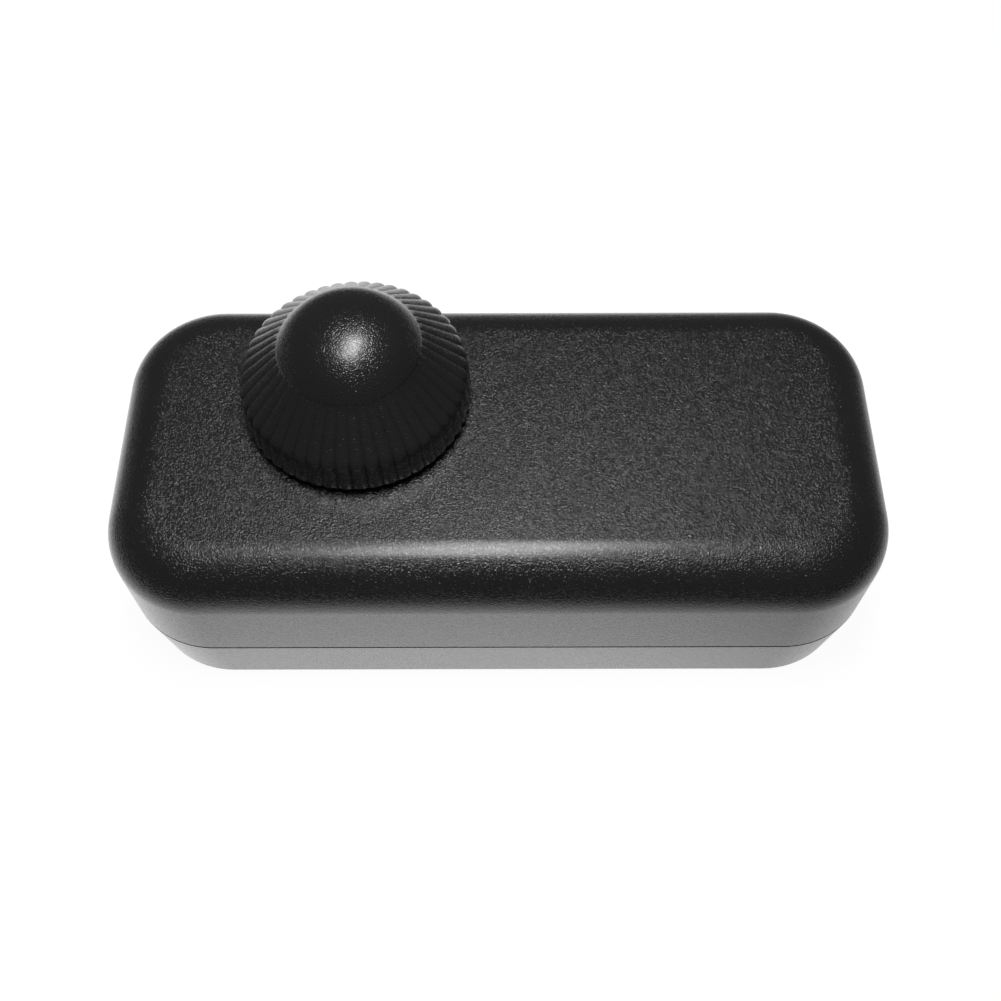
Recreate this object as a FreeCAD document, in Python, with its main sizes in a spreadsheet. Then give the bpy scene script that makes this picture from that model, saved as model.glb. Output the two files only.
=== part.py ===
import FreeCAD, Part
import math
import os
import Sketcher
from FreeCAD import Placement, Rotation, Vector

# Sizes in millimetres, angles in degrees. The origin is the middle of the underside of the
# lower case, X runs along the housing, Y to its back and Z up.
SIZES = [
    ("body_length", 80.0, "housing along X at the parting line"),
    ("body_width", 36.0, "housing along Y at the parting line"),
    ("body_height", 23.0, "flat top of the cover above the table"),
    ("total_height", 36.0, "top of the knob above the table"),
    ("parting_height", 9.0, "joint of cover and case above the table"),
    ("plan_corner", 10.0, "corner radius of the plan"),
    ("top_round", 5.6, "round along the top edge of the cover"),
    ("cover_draft", 1.2, "draft of the cover's sides"),
    ("case_draft", 4.0, "draft of the case's sides"),
    ("foot_round", 0.6, "round along the bottom edge of the case"),
    ("side_wall", 2.0, "wall of cover and case"),
    ("top_wall", 2.0, "thickness of the cover's top"),
    ("floor_wall", 2.0, "thickness of the case's floor"),
    ("floor_chamfer", 1.0, "slope inside the case along its floor"),
    ("ceiling_chamfer", 2.2, "slope inside the cover along its top"),
    ("tongue_height", 1.5, "tongue on the rim of the case"),
    ("tongue_thickness", 0.9, "tongue on the rim of the case"),
    ("tongue_gap", 0.1, "play around the tongue"),
    ("shadow_height", 0.25, "step under the parting line"),
    ("shadow_depth", 0.3, "step under the parting line"),
    ("inlet_radius", 3.2, "cord inlets at both ends"),
    ("boss_x", 31.5, "screw bosses from the middle"),
    ("boss_y", 11.0, "screw bosses from the middle"),
    ("cover_boss_radius", 3.0, "screw bosses of the cover"),
    ("case_boss_radius", 3.9, "screw bosses of the case"),
    ("merge_depth", 0.3, "how far a boss, post or tag runs into what carries it"),
    ("head_well_radius", 2.95, "wells for the screw heads"),
    ("head_seat", 3.6, "height of the screw head's seat"),
    ("screw_hole_radius", 1.7, "screw holes in the case"),
    ("pilot_radius", 1.5, "screw holes in the cover"),
    ("pilot_depth", 9.0, "screw holes in the cover"),
    ("screw_head_radius", 2.7, "housing screws"),
    ("screw_head_height", 1.9, "housing screws"),
    ("screw_radius", 1.45, "housing screws"),
    ("screw_length", 13.0, "housing screws under the head"),
    ("recess_span", 3.2, "cross recess of a housing screw"),
    ("recess_width", 0.7, "cross recess of a housing screw"),
    ("recess_depth", 1.1, "cross recess of a housing screw"),
    ("knob_x", -14.5, "axis of the knob along X"),
    ("knob_y", 4.25, "axis of the knob along Y"),
    ("knob_gap", 1.1, "knob above the cover"),
    ("knob_foot_radius", 11.8, "lower edge of the knob's side"),
    ("knob_edge_radius", 11.45, "upper edge of the knob's side"),
    ("knob_side_height", 3.5, "short side of the knob"),
    ("knob_cone_height", 4.4, "cone of the knob"),
    ("crease_radius", 7.15, "crease between cone and dome"),
    ("knob_wall", 1.6, "skirt of the knob"),
    ("knob_ceiling", 1.2, "hollow of the knob below the crease"),
    ("flute_count", 48, "flutes around the knob"),
    ("flute_slope", 0.3, "level depth of a flute for each millimetre of its width"),
    ("flute_width", 0.95, "width of the flutes on the side"),
    ("flute_crease_width", 0.6, "width of the flutes at the crease"),
    ("flute_overrun", 0.5, "flutes past the foot and the crease"),
    ("hub_radius", 4.6, "hub of the knob"),
    ("hub_lift", 3.3, "hub above the knob's lower edge"),
    ("bore_play", 0.02, "knob and rotor on the shaft"),
    ("bore_end_gap", 0.2, "bore beyond the end of the shaft"),
    ("web_count", 4, "webs between hub and skirt"),
    ("web_width", 1.0, "webs between hub and skirt"),
    ("web_height", 2.4, "webs between hub and skirt"),
    ("web_reach", 7.0, "webs from the axis"),
    ("shaft_radius", 3.0, "shaft"),
    ("shaft_flat", 1.5, "flat of the shaft from its axis"),
    ("shaft_reach", 10.0, "end of the shaft above the cover"),
    ("shaft_flat_length", 6.2, "length of the flat"),
    ("shaft_play", 0.05, "shaft in the bush"),
    ("shaft_chamfer", 0.4, "end of the shaft"),
    ("ring_groove_radius", 2.5, "groove for the retaining ring"),
    ("ring_thickness", 0.4, "retaining ring"),
    ("ring_radius", 4.6, "retaining ring"),
    ("ring_gap", 0.1, "retaining ring under the front plate"),
    ("bush_radius", 3.5, "threaded bush"),
    ("bush_reach", 3.6, "bush above the cover"),
    ("bush_play", 0.1, "bush in the cover, washer and nut"),
    ("seat_radius", 5.6, "raised seat inside the cover for the front plate"),
    ("seat_height", 0.8, "raised seat inside the cover for the front plate"),
    ("plate_thickness", 1.2, "front plate of the potentiometer"),
    ("pip_length", 2.4, "locating pip of the front plate"),
    ("pip_width", 1.2, "locating pip of the front plate"),
    ("pip_height", 1.6, "locating pip of the front plate"),
    ("pip_offset", 6.6, "locating pip from the axis"),
    ("washer_thickness", 0.5, "washer under the nut"),
    ("washer_radius", 6.2, "washer under the nut"),
    ("nut_thickness", 2.0, "nut of the bush"),
    ("nut_flats", 10.0, "nut of the bush across its flats"),
    ("can_radius", 8.5, "can of the potentiometer"),
    ("can_wall", 0.4, "can of the potentiometer"),
    ("can_length", 8.6, "can of the potentiometer"),
    ("can_play", 0.05, "pieces fitted in the can"),
    ("rotor_radius", 7.6, "rotor"),
    ("rotor_thickness", 2.9, "rotor"),
    ("rotor_drop", 1.0, "rotor below the front plate"),
    ("rotor_hub_radius", 3.9, "hub under the rotor"),
    ("rotor_hub_length", 2.5, "hub under the rotor"),
    ("rotor_floor", 1.1, "closed end of the rotor's hub"),
    ("finger_radius", 0.9, "finger that works the switch"),
    ("finger_offset", 2.6, "finger from the axis"),
    ("finger_length", 1.8, "finger under the hub"),
    ("wiper_thickness", 0.3, "wiper"),
    ("wiper_inner", 4.6, "wiper"),
    ("wiper_outer", 7.2, "wiper"),
    ("brush_width", 1.0, "brushes of the wiper"),
    ("brush_gap", 0.06, "brushes above the wafer"),
    ("wafer_thickness", 1.0, "resistance wafer"),
    ("wafer_hole", 4.3, "resistance wafer"),
    ("wafer_room", 2.0, "wafer below the rotor"),
    ("tongue_width", 12.6, "tongue of the wafer"),
    ("tongue_reach", 11.6, "end of the wafer's tongue from the axis"),
    ("tag_offset", 10.2, "tags from the axis"),
    ("tag_pitch", 4.5, "tags along X"),
    ("tag_width", 0.9, "tags"),
    ("tag_thickness", 0.5, "tags"),
    ("tag_hole", 0.5, "holes for tags and leads, from the middle to a side"),
    ("rivet_radius", 1.0, "heads of the tags"),
    ("rivet_height", 0.4, "heads of the tags"),
    ("switch_height", 3.2, "switch housing below the can"),
    ("switch_floor", 1.0, "floor of the switch housing"),
    ("switch_room", 6.2, "radius inside the switch housing"),
    ("switch_tag_x", 4.2, "switch tags from the axis"),
    ("switch_tag_y", 3.4, "switch tags from the axis"),
    ("contact_length", 3.6, "contact arms of the switch tags"),
    ("contact_height", 0.4, "contact arms of the switch tags"),
    ("lever_length", 8.0, "lever of the switch"),
    ("lever_width", 2.6, "lever of the switch"),
    ("lever_height", 1.0, "lever of the switch"),
    ("lever_offset", -3.0, "lever from the axis"),
    ("prong_size", 1.0, "prongs of the lever"),
    ("prong_height", 1.4, "prongs of the lever"),
    ("board_length", 54.0, "circuit board"),
    ("board_width", 30.0, "circuit board"),
    ("board_end", 60.4, "circuit board over its two tongues"),
    ("board_end_width", 12.8, "tongues of the circuit board"),
    ("board_thickness", 1.6, "circuit board"),
    ("board_height", 5.0, "underside of the circuit board"),
    ("post_x", 24.6, "posts under the board"),
    ("post_y", 12.2, "posts under the board"),
    ("post_radius", 1.9, "posts under the board"),
    ("post_hole", 1.0, "screw holes of the posts"),
    ("post_hole_depth", 2.4, "screw holes of the posts"),
    ("board_screw_radius", 0.95, "board screws"),
    ("board_screw_head", 1.8, "board screws"),
    ("board_screw_head_height", 1.2, "board screws"),
    ("board_screw_length", 3.8, "board screws under the head"),
    ("board_slot_width", 0.5, "slots of the small screws"),
    ("board_slot_depth", 0.5, "slots of the small screws"),
    ("pip_radius", 0.9, "board pips of the other two posts"),
    ("lead_tail", 1.0, "leads below the board"),
    ("lead_radius", 0.35, "leads"),
    ("film_x", -14.0, "film capacitor"),
    ("film_y", -11.7, "film capacitor"),
    ("film_length", 13.0, "film capacitor"),
    ("film_width", 6.0, "film capacitor"),
    ("film_height", 11.0, "film capacitor"),
    ("film_pitch", 10.0, "film capacitor's leads"),
    ("timing_x", -3.2, "timing capacitor"),
    ("timing_y", -12.0, "timing capacitor"),
    ("timing_length", 7.2, "timing capacitor"),
    ("timing_width", 2.5, "timing capacitor"),
    ("timing_height", 6.5, "timing capacitor"),
    ("timing_pitch", 5.0, "timing capacitor's leads"),
    ("case_edge", 0.4, "edges of the capacitors"),
    ("choke_x", 3.2, "choke"),
    ("choke_y", 6.2, "choke"),
    ("core_outer", 7.0, "choke core"),
    ("core_inner", 4.2, "choke core"),
    ("core_height", 5.4, "choke core"),
    ("wire_layer", 0.8, "winding around the core"),
    ("wire_play", 0.02, "winding around the core"),
    ("winding_angle", 300.0, "winding around the core"),
    ("sink_x", 17.2, "heat sink"),
    ("sink_front", -1.0, "front edge of the heat sink"),
    ("sink_back", 13.6, "back face of the heat sink"),
    ("sink_width", 10.4, "heat sink"),
    ("sink_thickness", 1.2, "heat sink"),
    ("sink_height", 9.0, "upright of the heat sink"),
    ("triac_width", 10.0, "triac"),
    ("triac_front", -0.8, "front end of the triac"),
    ("triac_body_length", 8.0, "triac's plastic body"),
    ("triac_body_height", 3.1, "triac's plastic body"),
    ("tab_length", 12.6, "metal tab of the triac"),
    ("tab_thickness", 1.25, "metal tab of the triac"),
    ("tab_hole", 1.7, "hole of the tab"),
    ("tab_hole_inset", 2.2, "hole of the tab from its end"),
    ("triac_pitch", 2.54, "leads of the triac"),
    ("triac_lead_reach", 2.6, "leads ahead of the triac"),
    ("triac_lead_size", 0.7, "leads of the triac"),
    ("bolt_radius", 1.5, "triac screw"),
    ("bolt_head_radius", 2.1, "triac screw"),
    ("bolt_head_height", 1.6, "triac screw"),
    ("bolt_nut_flats", 5.5, "triac nut"),
    ("bolt_nut_height", 2.0, "triac nut"),
    ("bolt_end", 0.3, "triac screw beyond its nut"),
    ("resistor_x", 2.2, "resistors"),
    ("resistor_y", -7.8, "first resistor"),
    ("resistor_pitch", 3.2, "second resistor behind the first"),
    ("resistor_length", 6.3, "resistors"),
    ("resistor_radius", 1.15, "resistors"),
    ("resistor_span", 10.2, "leads of the resistors"),
    ("resistor_lift", 0.1, "resistors and diac above the board"),
    ("diac_x", 13.2, "diac"),
    ("diac_y", -7.2, "diac"),
    ("diac_length", 4.2, "diac"),
    ("diac_radius", 0.95, "diac"),
    ("diac_span", 7.6, "leads of the diac"),
    ("fuse_x", 11.0, "fuse"),
    ("fuse_y", -11.9, "fuse"),
    ("fuse_length", 20.0, "fuse"),
    ("fuse_radius", 2.4, "glass of the fuse"),
    ("fuse_glass", 0.5, "wall of the fuse's glass"),
    ("fuse_lift", 4.2, "axis of the fuse above the board"),
    ("cap_length", 5.0, "caps of the fuse"),
    ("cap_wall", 0.2, "caps of the fuse"),
    ("clip_width", 4.0, "fuse clips along the fuse"),
    ("clip_wall", 0.4, "fuse clips"),
    ("clip_opening", 3.4, "fuse clips at the top"),
    ("clip_offset", 7.4, "fuse clips from the middle of the fuse"),
    ("block_x", 26.6, "terminal blocks from the middle"),
    ("block_depth", 6.4, "terminal blocks along X"),
    ("block_width", 10.2, "terminal blocks"),
    ("block_height", 8.4, "terminal blocks"),
    ("block_step", 1.6, "lower front of the terminal blocks"),
    ("pole_pitch", 5.0, "poles of a terminal block"),
    ("pole_hole", 1.45, "wire holes of the poles"),
    ("pole_lift", 2.9, "wire holes above the board"),
    ("cage_size", 3.4, "clamps in the terminal blocks"),
    ("cage_length", 3.6, "clamps in the terminal blocks"),
    ("cage_play", 0.05, "clamps in the terminal blocks"),
    ("pole_screw_radius", 1.2, "screws of the terminal blocks"),
    ("pole_screw_head", 1.6, "screws of the terminal blocks"),
    ("pole_screw_head_height", 1.4, "screws of the terminal blocks"),
    ("clamp_x", 35.0, "cord clamps from the middle"),
    ("clamp_depth", 4.0, "cord clamps along X"),
    ("clamp_width", 13.8, "cord clamps"),
    ("clamp_seat", 8.2, "underside of the cord clamps"),
    ("clamp_plate", 1.8, "ends of the cord clamps"),
    ("clamp_channel", 2.7, "channel for the cord"),
    ("clamp_arch", 3.55, "arch over the cord"),
    ("clamp_screw_y", 5.3, "screws of the cord clamps"),
    ("clamp_screw_head", 1.55, "screws of the cord clamps"),
    ("clamp_post_radius", 1.65, "posts of the cord clamps"),
    ("saddle_width", 6.4, "rib under the cord"),
    ("saddle_thickness", 1.2, "rib under the cord"),
]

doc = FreeCAD.newDocument("rotary_switch")
nodes = []


class Size:
    """A length that knows its value and the sheet formula that gives it."""

    def __init__(self, value, text):
        self.value = float(value)
        self.text = text

    def __add__(self, other):
        other = as_size(other)
        return Size(self.value + other.value, f"({self.text} + {other.text})")

    def __radd__(self, other):
        return as_size(other) + self

    def __sub__(self, other):
        other = as_size(other)
        return Size(self.value - other.value, f"({self.text} - {other.text})")

    def __rsub__(self, other):
        return as_size(other) - self

    def __mul__(self, other):
        other = as_size(other)
        return Size(self.value * other.value, f"({self.text} * {other.text})")

    def __rmul__(self, other):
        return as_size(other) * self

    def __truediv__(self, other):
        other = as_size(other)
        return Size(self.value / other.value, f"({self.text} / {other.text})")

    def __neg__(self):
        return Size(-self.value, f"(0 - {self.text})")


def as_size(number):
    """A plain number as a Size; a Size is returned as it is."""
    if isinstance(number, Size):
        return number
    return Size(number, repr(float(number)))


class Sheet:
    """The driving sizes, one attribute for each row of the sheet."""


def fill_sheet():
    sheet = doc.addObject("Spreadsheet::Sheet", "sizes")
    sizes = Sheet()
    for row, (name, value, note) in enumerate(SIZES, 1):
        sheet.set(f"A{row}", name)
        sheet.set(f"B{row}", str(value))
        sheet.set(f"C{row}", note)
        sheet.setAlias(f"B{row}", name)
        setattr(sizes, name, Size(value, f"sizes.{name}"))
    doc.recompute()
    return sizes


S = fill_sheet()

# Heights that several pieces share
COVER_TOP = S.body_height
CEILING = S.body_height - S.top_wall
KNOB_FOOT = S.body_height + S.knob_gap
KNOB_EDGE = KNOB_FOOT + S.knob_side_height
CREASE = KNOB_EDGE + S.knob_cone_height
KNOB_HOLLOW = CREASE - S.knob_ceiling
HUB_FOOT = KNOB_FOOT + S.hub_lift
SHAFT_END = COVER_TOP + S.shaft_reach
PLATE_TOP = CEILING - S.seat_height
PLATE_FOOT = PLATE_TOP - S.plate_thickness
CAN_FOOT = PLATE_FOOT - S.can_length
CAN_ROOM = S.can_radius - S.can_wall
ROTOR_TOP = PLATE_FOOT - S.rotor_drop
ROTOR_FOOT = ROTOR_TOP - S.rotor_thickness
WAFER_TOP = ROTOR_FOOT - S.wafer_room
WAFER_FOOT = WAFER_TOP - S.wafer_thickness
SWITCH_FOOT = CAN_FOOT - S.switch_height
BOARD_TOP = S.board_height + S.board_thickness
LEAD_END = S.board_height - S.lead_tail
SINK_TOP = BOARD_TOP + S.sink_thickness
TAB_TOP = SINK_TOP + S.tab_thickness
BOLT_Y = S.triac_front + S.tab_length - S.tab_hole_inset
CORNERS = [(sx, sy) for sx in (-1, 1) for sy in (-1, 1)]
ENDS = (-1, 1)
SCREWED_POSTS = [(-1, -1), (1, 1)]
PIP_POSTS = [(-1, 1), (1, -1)]


def link(item, prop, size):
    """Bind one property to the sheet."""
    item.setExpression(prop, as_size(size).text)


def put(item, x=0, y=0, z=0):
    """Place an item by formulas; its rotation stays."""
    link(item, "Placement.Base.x", x)
    link(item, "Placement.Base.y", y)
    link(item, "Placement.Base.z", z)


def keep(item, label):
    """Name a finished piece."""
    item.Label = label
    nodes.append(item)
    return item


# Part primitives and booleans
def box(name, length, width, height, x=0, y=0, z=0):
    """A box centred in X and Y that stands on z."""
    length, width = as_size(length), as_size(width)
    item = doc.addObject("Part::Box", name)
    link(item, "Length", length)
    link(item, "Width", width)
    link(item, "Height", height)
    put(item, x - length / 2, y - width / 2, z)
    return item


def post(name, radius, height, x=0, y=0, z=0):
    """A cylinder that stands on z."""
    item = doc.addObject("Part::Cylinder", name)
    link(item, "Radius", radius)
    link(item, "Height", height)
    put(item, x, y, z)
    return item


def wire_down(name, x, y, top):
    """A lead from a height down through the board, with few faces."""
    item = doc.addObject("Part::Prism", name)
    item.Polygon = 8
    link(item, "Circumradius", S.lead_radius)
    link(item, "Height", as_size(top) - LEAD_END)
    put(item, x, y, LEAD_END)
    return item


def wire_along(name, length, x, y, z):
    """A lead along X, centred on x."""
    item = doc.addObject("Part::Prism", name)
    item.Polygon = 8
    link(item, "Circumradius", S.lead_radius)
    link(item, "Height", length)
    item.Placement = Placement(Vector(), Rotation(Vector(0, 1, 0), 90))
    put(item, x - as_size(length) / 2, y, z)
    return item


def rod(name, radius, length, x=0, y=0, z=0):
    """A cylinder along X, centred on x."""
    item = doc.addObject("Part::Cylinder", name)
    link(item, "Radius", radius)
    link(item, "Height", length)
    item.Placement = Placement(Vector(), Rotation(Vector(0, 1, 0), 90))
    put(item, x - as_size(length) / 2, y, z)
    return item


def hexagon(name, flats, height, x=0, y=0, z=0):
    """A hexagonal prism that stands on z."""
    item = doc.addObject("Part::Prism", name)
    item.Polygon = 6
    link(item, "Circumradius", as_size(flats) / math.sqrt(3))
    link(item, "Height", height)
    put(item, x, y, z)
    return item


def joined(name, items):
    """All items as one object."""
    if len(items) == 1:
        return items[0]
    item = doc.addObject("Part::MultiFuse", name)
    item.Shapes = items
    return item


def cut(name, base, tools):
    """A base with tools taken away."""
    item = doc.addObject("Part::Cut", name)
    item.Base = base
    item.Tool = joined(f"{name}_tools", tools)
    return item


def bevelled_block(name, length, width, height, x, y, z, edge):
    """A moulded block that stands on z with its upper edges broken."""
    body = doc.addObject("PartDesign::Body", name)
    put(body, x, y, z)
    outline = new_sketch(body, f"{name}_outline")
    a, b = length / 2, width / 2
    draw_polygon(outline, [(-a, -b), (a, -b), (a, b), (-a, b)])
    block = pad(body, f"{name}_pad", outline, height)
    middle = height.value / 2
    dress(body, "Chamfer", f"{name}_edges", block, lambda line: line.BoundBox.ZMax > middle, edge)
    return body


# Bodies, sketches and features
def new_body(name, label, x=0, y=0, z=0):
    body = doc.addObject("PartDesign::Body", name)
    put(body, x, y, z)
    return keep(body, label)


def new_sketch(body, name, role="XY_Plane", offset=0):
    """A sketch on one of the body's own origin planes, moved along its normal."""
    plane = next(item for item in body.Origin.OriginFeatures if item.Role == role)
    sketch = body.newObject("Sketcher::SketchObject", name)
    sketch.AttachmentSupport = [(plane, "")]
    sketch.MapMode = "FlatFace"
    link(sketch, "AttachmentOffset.Base.z", offset)
    return sketch


def pin_point(sketch, geometry, end, x, y):
    """Fix a point of a sketch by its distances from the origin."""
    for kind, size in (("DistanceX", as_size(x)), ("DistanceY", as_size(y))):
        index = sketch.addConstraint(Sketcher.Constraint(kind, -1, 1, geometry, end, size.value))
        sketch.setExpression(f"Constraints[{index}]", size.text)


def measure(sketch, kind, *where):
    """A driving dimension; the last argument is its size."""
    size = as_size(where[-1])
    index = sketch.addConstraint(Sketcher.Constraint(kind, *where[:-1], size.value))
    sketch.setExpression(f"Constraints[{index}]", size.text)


def draw_polygon(sketch, points):
    """A closed outline through points that are given as sizes."""
    points = [(as_size(x), as_size(y)) for x, y in points]
    places = [Vector(x.value, y.value, 0) for x, y in points]
    count = len(points)
    lines = [
        sketch.addGeometry(Part.LineSegment(places[i], places[(i + 1) % count]))
        for i in range(count)]
    for i in range(count):
        sketch.addConstraint(Sketcher.Constraint("Coincident", lines[i], 2, lines[(i + 1) % count], 1))
    for line, (x, y) in zip(lines, points):
        pin_point(sketch, line, 1, x, y)
    return lines


def draw_square(sketch, x, y, half):
    """A square hole or lead around a place, from its middle to a side."""
    draw_polygon(sketch, [
        (x - half, y - half), (x + half, y - half), (x + half, y + half), (x - half, y + half)])


def draw_circle(sketch, radius, x=0, y=0):
    radius, x, y = as_size(radius), as_size(x), as_size(y)
    circle = sketch.addGeometry(Part.Circle(Vector(x.value, y.value, 0), Vector(0, 0, 1), radius.value))
    pin_point(sketch, circle, 3, x, y)
    measure(sketch, "Radius", circle, radius)


def draw_rounded(sketch, length, width, corner):
    """A rectangle with round corners around the origin."""
    length, width, corner = as_size(length), as_size(width), as_size(corner)
    a, b, r = length.value / 2, width.value / 2, corner.value
    spots = [
        (r - a, -b), (a - r, -b), (a, r - b), (a, b - r),
        (a - r, b), (r - a, b), (-a, b - r), (-a, r - b)]
    spots = [Vector(x, y, 0) for x, y in spots]
    centres = [(a - r, r - b), (a - r, b - r), (r - a, b - r), (r - a, r - b)]
    parts = []
    for i in range(4):
        parts.append(sketch.addGeometry(Part.LineSegment(spots[2 * i], spots[2 * i + 1])))
        circle = Part.Circle(Vector(*centres[i], 0), Vector(0, 0, 1), r)
        start = (i - 1) * math.pi / 2
        parts.append(sketch.addGeometry(Part.ArcOfCircle(circle, start, start + math.pi / 2)))
    for i in range(8):
        sketch.addConstraint(Sketcher.Constraint("Tangent", parts[i], 2, parts[(i + 1) % 8], 1))
    for i, kind in ((0, "Horizontal"), (2, "Vertical"), (4, "Horizontal"), (6, "Vertical")):
        sketch.addConstraint(Sketcher.Constraint(kind, parts[i]))
    for i in (3, 5, 7):
        sketch.addConstraint(Sketcher.Constraint("Equal", parts[1], parts[i]))
    sketch.addConstraint(Sketcher.Constraint("Symmetric", parts[0], 1, parts[4], 1, -1, 1))
    measure(sketch, "DistanceX", parts[6], 1, parts[2], 1, length)
    measure(sketch, "DistanceY", parts[0], 1, parts[4], 1, width)
    measure(sketch, "Radius", parts[1], corner)


def draw_plan(sketch, inset):
    """The housing's plan, drawn inward by an inset."""
    draw_rounded(sketch, S.body_length - 2 * inset, S.body_width - 2 * inset, S.plan_corner - inset)


def draw_shaft(sketch, radius, flat):
    """A circle with a flat on its +Y side."""
    radius, flat = as_size(radius), as_size(flat)
    r, f = radius.value, flat.value
    half = math.sqrt(r * r - f * f)
    angle = math.atan2(f, half)
    circle = Part.Circle(Vector(0, 0, 0), Vector(0, 0, 1), r)
    arc = sketch.addGeometry(Part.ArcOfCircle(circle, math.pi - angle, 2 * math.pi + angle))
    line = sketch.addGeometry(Part.LineSegment(Vector(half, f, 0), Vector(-half, f, 0)))
    sketch.addConstraint(Sketcher.Constraint("Coincident", arc, 2, line, 1))
    sketch.addConstraint(Sketcher.Constraint("Coincident", line, 2, arc, 1))
    sketch.addConstraint(Sketcher.Constraint("Coincident", arc, 3, -1, 1))
    sketch.addConstraint(Sketcher.Constraint("Horizontal", line))
    measure(sketch, "Radius", arc, radius)
    measure(sketch, "DistanceY", -1, 1, line, 1, flat)


def pad(body, name, sketch, length, down=False):
    item = body.newObject("PartDesign::Pad", name)
    item.Profile = sketch
    link(item, "Length", length)
    item.Reversed = down
    doc.recompute()
    return item


def pocket(body, name, sketch, length=None, up=False):
    """A pocket of a given depth, or right through to both sides."""
    item = body.newObject("PartDesign::Pocket", name)
    item.Profile = sketch
    item.Reversed = up
    if length is None:
        item.Type = 1
        item.Midplane = True
    else:
        link(item, "Length", length)
    doc.recompute()
    return item


def draft_sides(body, name, base, pick, angle, neutral, flip):
    """Lean the upright faces that pick() accepts about the level plane of a sketch."""
    faces = [f"Face{i}" for i, face in enumerate(base.Shape.Faces, 1) if pick(face)]
    item = body.newObject("PartDesign::Draft", name)
    item.Base = (base, faces)
    item.NeutralPlane = (neutral, [""])
    link(item, "Angle", angle)
    item.Reversed = flip
    doc.recompute()
    return item


def spin(body, kind, name, sketch):
    """A revolution or a groove about the upright axis of its sketch."""
    item = body.newObject(f"PartDesign::{kind}", name)
    item.Profile = sketch
    item.ReferenceAxis = (sketch, ["V_Axis"])
    item.Angle = 360
    doc.recompute()
    return item


def dress(body, kind, name, base, pick, size):
    """Fillet or chamfer the edges of a feature that pick() accepts."""
    edges = [f"Edge{i}" for i, edge in enumerate(base.Shape.Edges, 1) if pick(edge)]
    item = body.newObject(f"PartDesign::{kind}", name)
    item.Base = (base, edges)
    link(item, "Radius" if kind == "Fillet" else "Size", size)
    doc.recompute()
    return item


def around(body, name, feature, count):
    """Repeat a feature around the body's own upright axis."""
    item = body.newObject("PartDesign::PolarPattern", name)
    item.Originals = [feature]
    axis = next(part for part in body.Origin.OriginFeatures if part.Role == "Z_Axis")
    item.Axis = (axis, [""])
    item.Angle = 360
    link(item, "Occurrences", count)
    body.Tip = item
    doc.recompute()
    return item


def flat_at(height, low=0.0):
    """Edges that lie level at a height and are longer than low."""
    def pick(edge):
        bounds = edge.BoundBox
        level = abs(bounds.ZMin - height.value) < 1e-4 and abs(bounds.ZMax - height.value) < 1e-4
        return level and edge.Length > low
    return pick


def upright(outward):
    """Faces that stand upright and look away from the housing's middle, or towards it."""
    def pick(face):
        low, high, left, right = face.ParameterRange
        normal = face.normalAt((low + high) / 2, (left + right) / 2)
        middle = face.CenterOfMass
        away = normal.x * middle.x + normal.y * middle.y > 0
        return abs(normal.z) < 1e-6 and away == outward
    return pick


def parting_plane(body, name):
    """A datum plane at the parting line, about which the sides lean."""
    plane = body.newObject("PartDesign::Plane", f"{name}_parting")
    level = next(part for part in body.Origin.OriginFeatures if part.Role == "XY_Plane")
    plane.AttachmentSupport = [(level, "")]
    plane.MapMode = "FlatFace"
    link(plane, "AttachmentOffset.Base.z", S.parting_height)
    doc.recompute()
    return plane


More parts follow.
